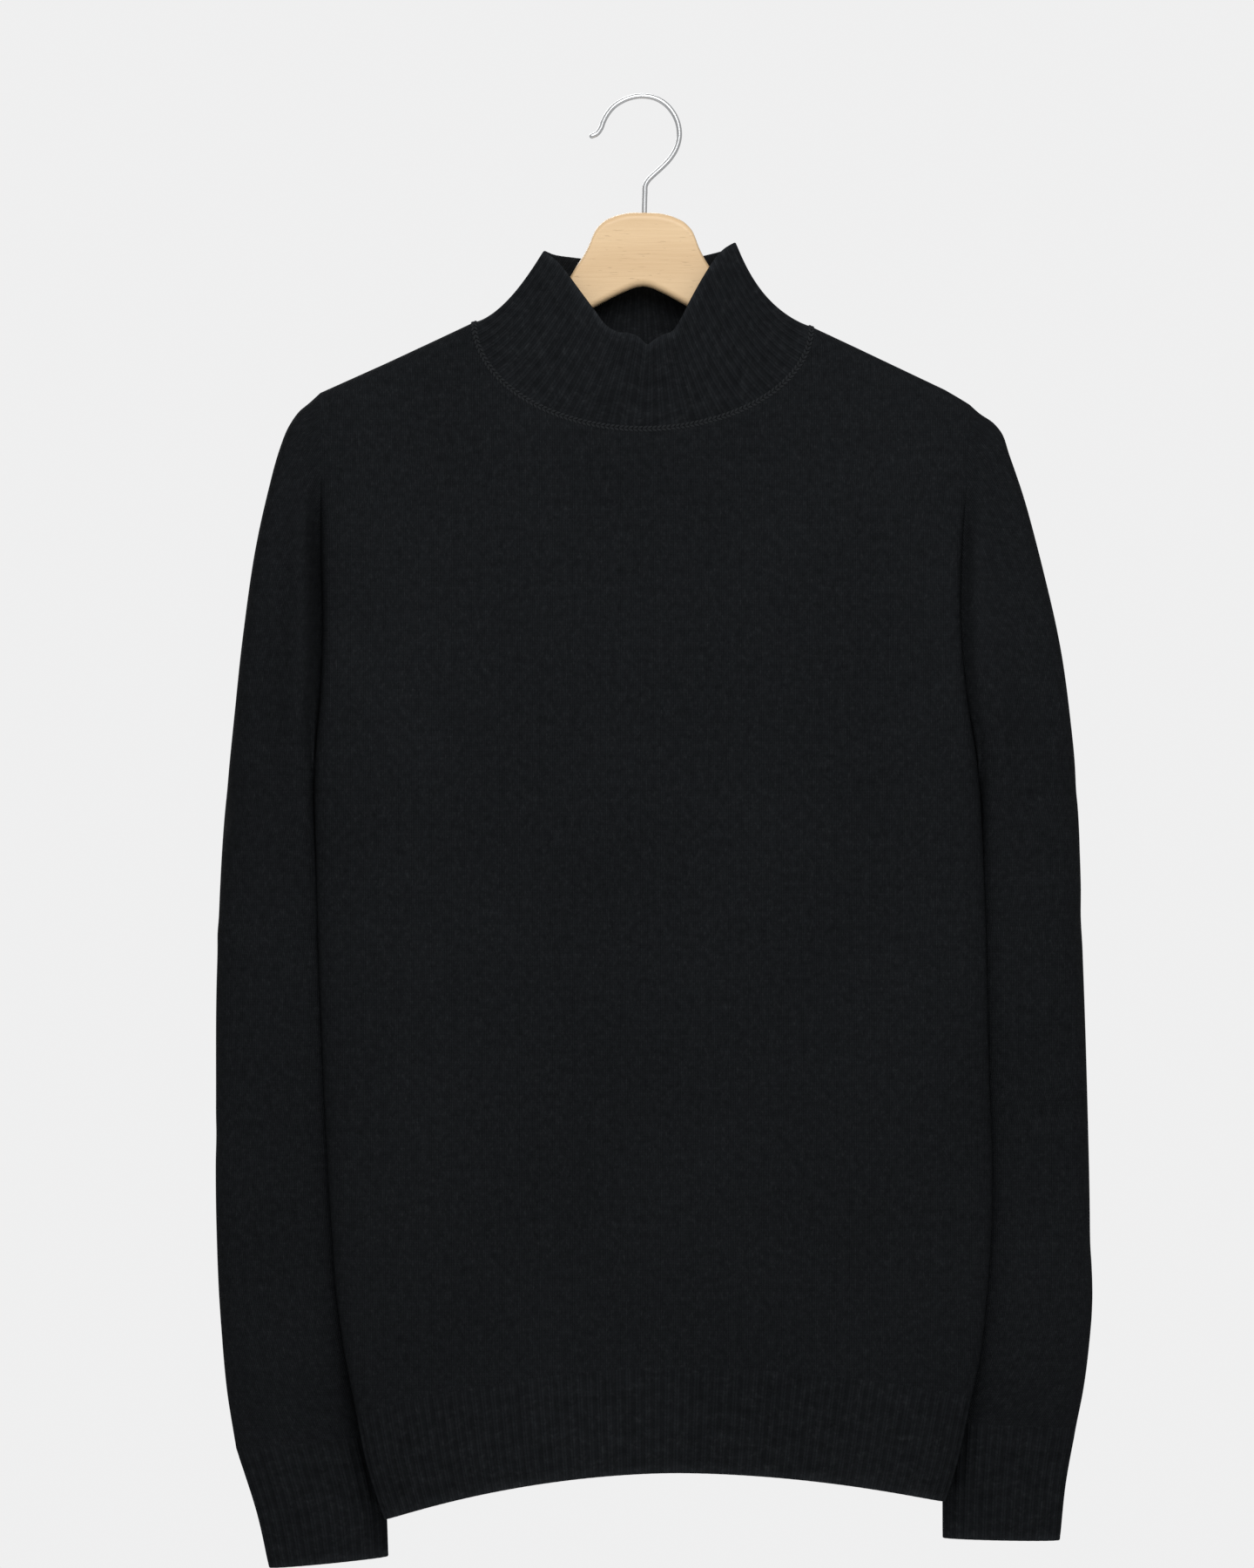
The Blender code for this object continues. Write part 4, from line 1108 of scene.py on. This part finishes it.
class Finish:
    """Makes one material and the nodes behind its shader."""

    def __init__(self, name):
        self.material = bpy.data.materials.new(name)
        self.material.use_nodes = True
        self.tree = self.material.node_tree
        self.shader = self.tree.nodes["Principled BSDF"]

    def node(self, kind, settings=None, sockets=None, output=0):
        """One output of a new node with its settings made and its sockets fed."""
        made = self.tree.nodes.new(kind)
        for name, setting in (settings or {}).items():
            setattr(made, name, setting)
        for name, value in (sockets or {}).items():
            self.feed(made.inputs[name], value)
        return Value(self, made.outputs[output])

    def feed(self, socket, value):
        if isinstance(value, Value):
            self.tree.links.new(value.socket, socket)
        else:
            socket.default_value = value

    def set(self, **constants):
        """Constants on the shader's own sockets."""
        for name, value in constants.items():
            title = name.replace("_", " ").title().replace("Ior", "IOR")
            self.shader.inputs[title].default_value = value

    def drive(self, socket, value):
        self.feed(self.shader.inputs[socket], value)

    def blend(self, share, low, high, how="MIX"):
        """A colour between two others, through the Mix node's colour sockets."""
        low, high = (end if isinstance(end, Value) else as_colour(end) for end in (low, high))
        return self.node("ShaderNodeMix", {"data_type": "RGBA", "blend_type": how},
                         {0: share, 6: low, 7: high}, 2)

    def noise(self, vector, scale, detail=2.0, roughness=0.5, distortion=0.0):
        return self.node("ShaderNodeTexNoise", None, {
            "Vector": vector, "Scale": scale, "Detail": detail,
            "Roughness": roughness, "Distortion": distortion})

    def random(self, dimensions, **place):
        """A random value that is the same all over one cell."""
        return self.node("ShaderNodeTexWhiteNoise", {"noise_dimensions": dimensions}, place)

    def place(self, x, y, z=0.0):
        return self.node("ShaderNodeCombineXYZ", None, {"X": x, "Y": y, "Z": z})

    def point_value(self, name):
        return self.node("ShaderNodeAttribute", {"attribute_name": name}, output="Fac")

    def spot(self):
        """The place on the piece, in metres."""
        return self.node("ShaderNodeTexCoord", output="Object")

    def bump(self, height, distance):
        sockets = {"Height": height, "Distance": distance}
        self.drive("Normal", self.node("ShaderNodeBump", None, sockets))


def as_colour(colour):
    return (*colour[:3], 1.0)


def scaled(colour, factor):
    return tuple(part * factor for part in colour[:3])


def finish_once(name, make, *given):
    return bpy.data.materials.get(name) or make(name, *given)


def knit_finish(name, knit, kind):
    """Rows of yarn loops with paler and darker fibres in them, painted shade in the gaps between
    loops and in the ribs' grooves, and a painted highlight along open edges.

    Kind is knit, purl (the plain knit's inner face) or rib.
    """
    f = Finish(name)
    f.set(roughness=0.92, specular_ior_level=0.03)
    wale, course, _ = f.node("ShaderNodeUVMap", {"uv_map": "knit"}).parts()
    line = wale.floor()
    aside = (wale.fraction() - 0.5).size()
    if kind == "purl":
        row = course + 0.5 * line + 0.5 * aside
        height = (row.fraction() * math.pi).sine() * (0.55 + 0.45 * (aside * math.pi).sine())
        cell = f.place(line, row.floor())
        # Painted shade: the gaps between purl loops are coloured darker.
        depth = 0.45 + 0.55 * height
    else:
        # Each stitch is a V: two legs that lean away from the middle of their column
        lean = aside * (1.55 if kind == "rib" else 1.0)
        leg = (1 - ((lean - 0.25) * 4) ** 2).at_least(0.0) ** 0.5
        rising = course + 0.8 * lean
        height = leg * (0.66 + 0.34 * (rising.fraction() * math.pi).sine())
        cell = f.place((wale * 2).floor(), rising.floor())
        if kind == "rib":
            # Painted shade: the rib's grooves and the gaps between its loops are coloured darker.
            groove = lean.between(0.4, 0.7) * f.point_value("ribbed")
            depth = (0.76 + 0.24 * height) * (1 - 0.04 * groove)
        else:
            # Painted shade: the gaps between the loops are coloured darker.
            depth = 0.68 + 0.32 * height

    # Single stitches, columns, fibres along the yarn, clouds a few stitches wide, and drift
    each = f.random("3D", Vector=cell)
    streak = f.random("1D", W=line)
    fibres = f.noise(f.place(wale * 1.7, course * 0.42), 1.0, 3.0, 0.6, 0.5)
    cloud = f.noise(f.place(wale * 0.42, course * 0.3), 1.0, 3.0, 0.62)
    drift = f.noise(f.spot(), 11.0)

    pale = each.between(0.74, 1.0) * 0.13 + fibres.between(0.5, 0.8) * 0.36
    yarn = f.blend(pale, knit.yarn, knit.fleck)
    tone = 0.28 + cloud + 0.3 * drift + 0.03 * streak + 0.1 * each
    # Painted highlight: the colour is lightened by up to half near open edges.
    shade = depth * tone * (1 + 0.5 * f.point_value("worn"))
    f.drive("Base Color", f.blend(1.0, yarn, f.place(shade, shade, shade), "MULTIPLY"))
    f.drive("Roughness", 0.86 + 0.12 * fibres)
    f.bump(height + 0.5 * fibres + 0.5 * cloud, knit.relief)
    return f.material


def linking_finish(name, knit):
    """The chain of loops that joins the collar on."""
    f = Finish(name)
    f.set(roughness=0.9, specular_ior_level=0.03)
    twist = f.noise(f.spot(), 900.0, 2.0, 0.6)
    drift = f.noise(f.spot(), 60.0)
    f.drive("Base Color", f.blend(0.3 * drift + 0.7 * twist, scaled(knit.linking, 0.7),
                                  scaled(knit.linking, 1.35)))
    f.bump(twist, knit.relief * 0.6)
    return f.material


def wood_finish(name, hanger):
    """Pale close-grained wood with short darker flecks, under satin lacquer."""
    f = Finish(name)
    f.set(specular_ior_level=0.4, coat_weight=hanger.lacquer, coat_roughness=0.28)
    x, y, z = f.spot().parts()
    wander = f.noise(f.place(x * 6, y * 14, z * 14), 1.0, 3.0, 0.55)
    rings = (z * 210 + y * 160 + wander * 7.5).sine()
    streak = f.noise(f.place(x * 30, y * 700, z * 700), 1.0, 3.0, 0.6)
    dash = f.noise(f.place(x * 160, y * 1100, z * 1100), 1.0, 1.0)
    tone = (0.5 + 0.5 * rings) * 0.34 + streak * 0.5 - 0.08
    flecks = dash.between(0.66, 0.76) * 0.4
    body = f.blend(tone, hanger.wood, hanger.grain)
    f.drive("Base Color", f.blend(flecks, body, scaled(hanger.grain, 0.72)))
    f.drive("Roughness", 0.42 + 0.16 * streak)
    f.bump(streak - flecks, 0.00012)
    return f.material


def steel_finish(name, hanger):
    """Bright drawn wire with fine marks along it."""
    f = Finish(name)
    f.set(metallic=1.0)
    haze = f.noise(f.spot(), 140.0, 3.0, 0.6)
    marks = f.noise(f.spot(), 1500.0)
    f.drive("Base Color", f.blend(0.35 * haze, hanger.steel, scaled(hanger.steel, 0.72)))
    f.drive("Roughness", 0.2 + 0.2 * haze + 0.06 * marks)
    f.bump(marks, 0.00003)
    return f.material


def floor_finish(name, studio):
    f = Finish(name)
    f.set(roughness=0.8, specular_ior_level=0.2)
    drift = f.noise(f.spot(), 3.0)
    f.drive("Base Color", f.blend(0.06 * drift, studio.backdrop, (0.8, 0.8, 0.8)))
    return f.material


# ---------------------------------------------------------------- operators


class SWEATER_OT_stage(bpy.types.Operator):
    """Set the pale floor, the soft lights and the camera"""

    bl_idname = "sweater.stage"
    bl_label = "Studio"

    def execute(self, context):
        studio = context.scene.sweater_studio
        context.scene.view_settings.view_transform = "Standard"
        context.scene.world = self.surround(studio)
        self.floor(studio)
        for name, setting, place, size in LIGHTS:
            self.soft_light(name, place, size, getattr(studio, setting))
        context.scene.camera = self.camera(studio)
        return {"FINISHED"}

    def surround(self, studio):
        """The camera sees the backdrop, and everything else the soft light from all round."""
        world = bpy.data.worlds.new("studio_surround")
        world.use_nodes = True
        tree = world.node_tree
        seen = tree.nodes["Background"]
        seen.inputs["Color"].default_value = as_colour(studio.backdrop)
        fill = tree.nodes.new("ShaderNodeBackground")
        fill.inputs["Color"].default_value = (studio.fill,) * 3 + (1.0,)
        chooser = tree.nodes.new("ShaderNodeMixShader")
        rays = tree.nodes.new("ShaderNodeLightPath")
        tree.links.new(rays.outputs["Is Camera Ray"], chooser.inputs[0])
        tree.links.new(fill.outputs[0], chooser.inputs[1])
        tree.links.new(seen.outputs[0], chooser.inputs[2])
        tree.links.new(chooser.outputs[0], tree.nodes["World Output"].inputs["Surface"])
        return world

    def floor(self, studio):
        turns = [2 * math.pi * place / FLOOR_PLACES for place in range(FLOOR_PLACES)]
        points = [(0.0, 0.0, FLOOR_Z)]
        for ring in range(1, FLOOR_RINGS + 1):
            reach = FLOOR_RADIUS * ring / FLOOR_RINGS
            points += [(reach * math.cos(turn), reach * math.sin(turn), FLOOR_Z) for turn in turns]
        faces = []
        for place in range(FLOOR_PLACES):
            near, beside = 1 + place, 1 + (place + 1) % FLOOR_PLACES
            faces.append((0, near, beside))
            for out in range(0, (FLOOR_RINGS - 1) * FLOOR_PLACES, FLOOR_PLACES):
                faces.append((near + out, near + out + FLOOR_PLACES,
                              beside + out + FLOOR_PLACES, beside + out))
        mesh = bpy.data.meshes.new("studio_floor")
        mesh.from_pydata(points, [], faces)
        mesh.materials.append(floor_finish("pale_floor", studio))
        add_object("studio_floor", mesh)

    def soft_light(self, name, place, size, power):
        data = bpy.data.lights.new(name, "AREA")
        data.shape = "DISK"
        data.size = size
        data.energy = power
        light = add_object(name, data)
        light.location = place
        aim = Vector(LIGHT_TARGET) - Vector(place)
        light.rotation_euler = aim.to_track_quat("-Z", "Y").to_euler()
        light.visible_camera = False

    def camera(self, studio):
        data = bpy.data.cameras.new("front_camera")
        data.sensor_width = SENSOR_WIDTH
        data.lens = SENSOR_WIDTH * (studio.distance - FRONT_PLANE) / studio.view_height
        data.clip_start, data.clip_end = CLIP_NEAR, CLIP_FAR
        camera = add_object("front_camera", data)
        camera.location = (CAMERA_X, -studio.distance, CAMERA_Z)
        camera.rotation_euler = (math.pi / 2, 0.0, 0.0)
        return camera


class SWEATER_OT_panels(bpy.types.Operator):
    """Knit the front and back panels over the shoulders"""

    bl_idname = "sweater.panels"
    bl_label = "Front and back"

    def execute(self, context):
        knit = context.scene.sweater_knit
        for name, face in (("front", -1), ("back", 1)):
            grid, along, across = panel_grid(face, knit.crease)
            run = run_length(grid[..., :2].swapaxes(0, 1)).T
            middle = int(np.argmin(np.abs(across[-1])))
            wales = (run - run[:, middle:middle + 1]) / (knit.wale / MM)
            courses = (along - shoulder_z(side_x(across, SHOULDER_TIP_Z))) / (knit.course / MM)
            plain_piece(name, grid, wales, courses, False, knit)
        return {"FINISHED"}


class SWEATER_OT_sleeves(bpy.types.Operator):
    """Knit the two set-in sleeves"""

    bl_idname = "sweater.sleeves"
    bl_label = "Sleeves"

    def execute(self, context):
        knit = context.scene.sweater_knit
        for name, side, rings, creases in (
                ("sleeve_left", -1, LEFT_SLEEVE_RINGS, LEFT_SLEEVE_CREASES),
                ("sleeve_right", 1, RIGHT_SLEEVE_RINGS, RIGHT_SLEEVE_CREASES)):
            grid, ridge = sleeve_grid(side, rings, creases, knit.crease)
            wales, courses = sleeve_stitches(grid, ridge, knit)
            plain_piece(name, grid, wales, courses, True, knit)
        return {"FINISHED"}


class SWEATER_OT_collar(bpy.types.Operator):
    """Knit the ribbed collar on to the neckline"""

    bl_idname = "sweater.collar"
    bl_label = "Collar"

    def execute(self, context):
        knit = context.scene.sweater_knit
        ribbed_piece("collar", collar_grid(), True, "top", knit)
        return {"FINISHED"}


class SWEATER_OT_cuffs(bpy.types.Operator):
    """Knit the ribbed cuffs"""

    bl_idname = "sweater.cuffs"
    bl_label = "Cuffs"

    def execute(self, context):
        knit = context.scene.sweater_knit
        for side, ends in (("left", LEFT_CUFF), ("right", RIGHT_CUFF)):
            grid = cuff_grid(ends)
            ribbed_piece(f"cuff_{side}", grid, True, "end", knit)
        return {"FINISHED"}


class SWEATER_OT_hems(bpy.types.Operator):
    """Knit the ribbed hem of each panel"""

    bl_idname = "sweater.hems"
    bl_label = "Hem"

    def execute(self, context):
        knit = context.scene.sweater_knit
        for half, face in (("front", -1), ("back", 1)):
            ribbed_piece(f"hem_{half}", hem_grid(face), False, "end", knit)
        return {"FINISHED"}


def leg_shape():
    """Points of one leg of a loop, lying along its chain: along, across and up."""
    points = []
    for ring in range(LEG_RINGS + 1):
        share = ring / LEG_RINGS
        girth = math.sin(math.pi * (LEG_TIP + (1 - 2 * LEG_TIP) * share)) * LINK_RADIUS
        along = (share - 0.5) * LINK_PITCH * LEG_LENGTH
        for place in range(LEG_PLACES):
            turn = 2 * math.pi * place / LEG_PLACES
            points.append((along, girth * math.cos(turn), girth * math.sin(turn) * LEG_FLAT))
    return np.array(points)


def linking_chain(path, normals):
    """Points and faces of a chain of V-shaped loops along a closed path."""
    closed = np.concatenate([path, path[:1]])
    around = np.concatenate([normals, normals[:1]])
    lengths = run_length(closed)
    count = int(round(lengths[-1] / LINK_PITCH))
    at = (np.arange(count) + 0.5) * lengths[-1] / count
    centre = interpolated(at, lengths, closed)
    forward = unit(interpolated(at + LINK_AHEAD, lengths, closed) - centre)
    aside = unit(np.cross(unit(interpolated(at, lengths, around)), forward))
    up = np.cross(forward, aside)
    shape = leg_shape()
    points = []
    for leg in (-1, 1):
        cos, sin = math.cos(LINK_LEAN * leg), math.sin(LINK_LEAN * leg)
        along = shape[:, 0] * cos - shape[:, 1] * sin
        across = shape[:, 0] * sin + shape[:, 1] * cos + leg * LINK_RADIUS * LINK_SPREAD
        points.append(centre[:, None] + forward[:, None] * along[None, :, None]
                      + aside[:, None] * across[None, :, None]
                      + up[:, None] * (shape[:, 2] + LINK_LIFT)[None, :, None])
    points = np.concatenate(points)
    leg_faces = tube_faces(LEG_RINGS + 1, LEG_PLACES)
    faces = [tuple(corner + leg * len(shape) for corner in face)
             for leg in range(len(points)) for face in leg_faces]
    return points, faces


class SWEATER_OT_linking(bpy.types.Operator):
    """Sew the chain of linking stitches round the neckline"""

    bl_idname = "sweater.linking"
    bl_label = "Linking stitches"

    def execute(self, context):
        degrees = np.linspace(-180.0, 180.0, LINK_PATH_POINTS, endpoint=False)
        normals = interpolated(degrees, collar_degrees(), outward(collar_grid(), True)[-2])
        points, faces = linking_chain(neck_ring(degrees), unit(normals))
        finish = linking_finish("linking_yarn", context.scene.sweater_knit)
        dress(add_mesh("neck_linking", points, faces, [finish], LINK_SHARP), "rib_knit")
        return {"FINISHED"}


def arm_top_z(x):
    """Top of the arm, just under the cloth's ridge and dipping clear of the neckline."""
    seat = ARM_APEX_Z - ARM_SEAT_DROP / math.cos(math.atan(ARM_SLOPE)) - ARM_SLOPE * x
    return seat - NECK_DIP * np.exp(-((x - NECK_DIP_X) / NECK_DIP_REACH) ** 2)


def hanger_edges(x):
    """Heights of the wood's upper and lower edges at a distance from its middle."""
    out = np.linspace(ARM_FIRST_X, ARM_END_X, ARM_ROWS)
    top = arm_top_z(out)
    low = top - ARM_HEIGHT + ARM_LIFT * (out > ARM_LIFT_X)
    edges = (np.concatenate([np.array(head), np.stack([out, arm], axis=-1)])
             for head, arm in ((HEAD_TOP, top), (HEAD_ARCH, low)))
    return [through(edge[:, 0], edge[:, 1], x) for edge in edges]


def tilted(points):
    """Points of the hanger's own frame after its tilt about the hook."""
    x, y, z = points[..., 0], points[..., 1], points[..., 2]
    cos, sin = math.cos(HANGER_TILT), math.sin(HANGER_TILT)
    return np.stack([x * cos + z * sin, y, z * cos - x * sin], axis=-1)


def board_section(half_depth, half_height):
    """A board's rounded section as y and z, with a narrow border round each flat face."""
    round_y = min(HANGER_EDGE_ROUND, ROUND_SHARE * half_depth)
    round_z = min(HANGER_EDGE_ROUND, ROUND_SHARE * half_height)
    border = min(FACE_BORDER, (half_height - round_z) * 0.5)
    points = []
    for side_y, side_z in ((1, 1), (-1, 1), (-1, -1), (1, -1)):
        angles = np.linspace(0.0, math.pi / 2, CORNER_POINTS)
        corner = [(side_y * (half_depth - round_y + round_y * math.cos(angle)),
                   side_z * (half_height - round_z + round_z * math.sin(angle)))
                  for angle in angles]
        corner.insert(0, (side_y * half_depth, side_z * (half_height - round_z - border)))
        points += corner if side_y == side_z else corner[::-1]
    return np.array(points)


def hanger_stations():
    """Places along the hanger from tip to tip, closer together in its head and tips."""
    arm_x = ARM_END_X - ARM_END_ROUND
    tip = ARM_END_ROUND * (1 - np.sin(np.linspace(0, math.pi / 2, TIP_STATIONS)))
    reach = np.concatenate([np.linspace(0.0, HEAD_REACH, HEAD_STATIONS)[:-1],
                            np.linspace(HEAD_REACH, arm_x, ARM_STATIONS)[:-1],
                            ARM_END_X - tip])[:-1]
    return np.concatenate([-reach[:0:-1], reach])


class SWEATER_OT_hanger(bpy.types.Operator):
    """Shape the wooden hanger"""

    bl_idname = "sweater.hanger"
    bl_label = "Wooden hanger"

    def execute(self, context):
        stations = hanger_stations()
        sections = []
        for x, upper, lower in zip(stations, *hanger_edges(np.abs(stations))):
            left = min(max(0.0, (ARM_END_X - abs(x)) / ARM_END_ROUND), 1.0)
            shrink = math.sqrt(max(0.0, 1.0 - (1.0 - left) ** 2))
            section = board_section(mix(ARM_END_HALF_DEPTH, HANGER_THICKNESS / 2, shrink),
                                    (upper - lower) / 2 * shrink)
            sections.append(np.stack([np.full(len(section), x), section[:, 0],
                                      (upper + lower) / 2 + section[:, 1]], axis=-1))
        faces = tube_faces(len(sections), len(sections[0]))
        finish = wood_finish("pale_wood", context.scene.sweater_hanger)
        board = add_mesh("hanger_wood", tilted(np.array(sections)), faces, [finish], HARD_SHARP)
        dress(board, "hanger_wood", "hanger")
        return {"FINISHED"}


class SWEATER_OT_hook(bpy.types.Operator):
    """Bend the wire hook"""

    bl_idname = "sweater.hook"
    bl_label = "Wire hook"

    def execute(self, context):
        radius = WIRE_DIAMETER / 2
        bend = np.array(HOOK_BEND)
        lengths = run_length(bend)
        path = through(lengths, bend, np.linspace(0.0, lengths[-1], WIRE_RINGS))
        path = np.stack([path[:, 0], 0 * path[:, 0], path[:, 1]], axis=-1)
        heading = unit(np.gradient(path, axis=0))
        aside = np.array([0.0, 1.0, 0.0])
        over = unit(np.cross(heading, aside))
        turns = np.linspace(0, 2 * math.pi, WIRE_PLACES, endpoint=False)
        rings = [(path[0] - heading[0] * radius * math.cos(angle), radius * math.sin(angle), 0)
                 for angle in np.linspace(WIRE_TIP_ANGLE, math.pi / 2, WIRE_TIP_RINGS + 1)[:-1]]
        rings += [(point, radius, place) for place, point in enumerate(path)]
        points = np.array([centre + girth * (np.cos(turns)[:, None] * aside
                                             + np.sin(turns)[:, None] * over[place])
                           for centre, girth, place in rings])
        faces = tube_faces(len(rings), WIRE_PLACES)
        finish = steel_finish("steel_wire", context.scene.sweater_hanger)
        dress(add_mesh("hook_wire", points, faces, [finish], HARD_SHARP), "hook_steel", "hook")
        return {"FINISHED"}


class SWEATER_PT_pieces(bpy.types.Panel):
    """Pieces of the sweater and its hanger"""

    bl_idname = "SWEATER_PT_pieces"
    bl_label = "Sweater"
    bl_space_type = "VIEW_3D"
    bl_region_type = "UI"
    bl_category = "Sweater"

    def draw(self, context):
        for operator in OPERATORS:
            self.layout.operator(operator.bl_idname)
        for group in ("sweater_knit", "sweater_hanger", "sweater_studio"):
            box = self.layout.box()
            settings = getattr(context.scene, group)
            for name in settings.__annotations__:
                box.prop(settings, name)


OPERATORS = (
    SWEATER_OT_stage,
    SWEATER_OT_panels,
    SWEATER_OT_sleeves,
    SWEATER_OT_collar,
    SWEATER_OT_cuffs,
    SWEATER_OT_hems,
    SWEATER_OT_linking,
    SWEATER_OT_hanger,
    SWEATER_OT_hook,
)
SETTINGS = {
    "sweater_knit": SweaterKnit,
    "sweater_hanger": SweaterHanger,
    "sweater_studio": SweaterStudio,
}


def register():
    for group in SETTINGS.values():
        bpy.utils.register_class(group)
    for name, group in SETTINGS.items():
        setattr(bpy.types.Scene, name, PointerProperty(type=group))
    for operator in OPERATORS:
        bpy.utils.register_class(operator)
    bpy.utils.register_class(SWEATER_PT_pieces)


def unregister():
    bpy.utils.unregister_class(SWEATER_PT_pieces)
    for operator in reversed(OPERATORS):
        bpy.utils.unregister_class(operator)
    for name in SETTINGS:
        delattr(bpy.types.Scene, name)
    for group in reversed(list(SETTINGS.values())):
        bpy.utils.unregister_class(group)


def main():
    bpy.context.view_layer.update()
    register()
    bpy.ops.sweater.stage()
    bpy.ops.sweater.panels()
    bpy.ops.sweater.sleeves()
    bpy.ops.sweater.collar()
    bpy.ops.sweater.cuffs()
    bpy.ops.sweater.hems()
    bpy.ops.sweater.linking()
    bpy.ops.sweater.hanger()
    bpy.ops.sweater.hook()
    bpy.context.view_layer.update()


if __name__ == "__main__":
    main()
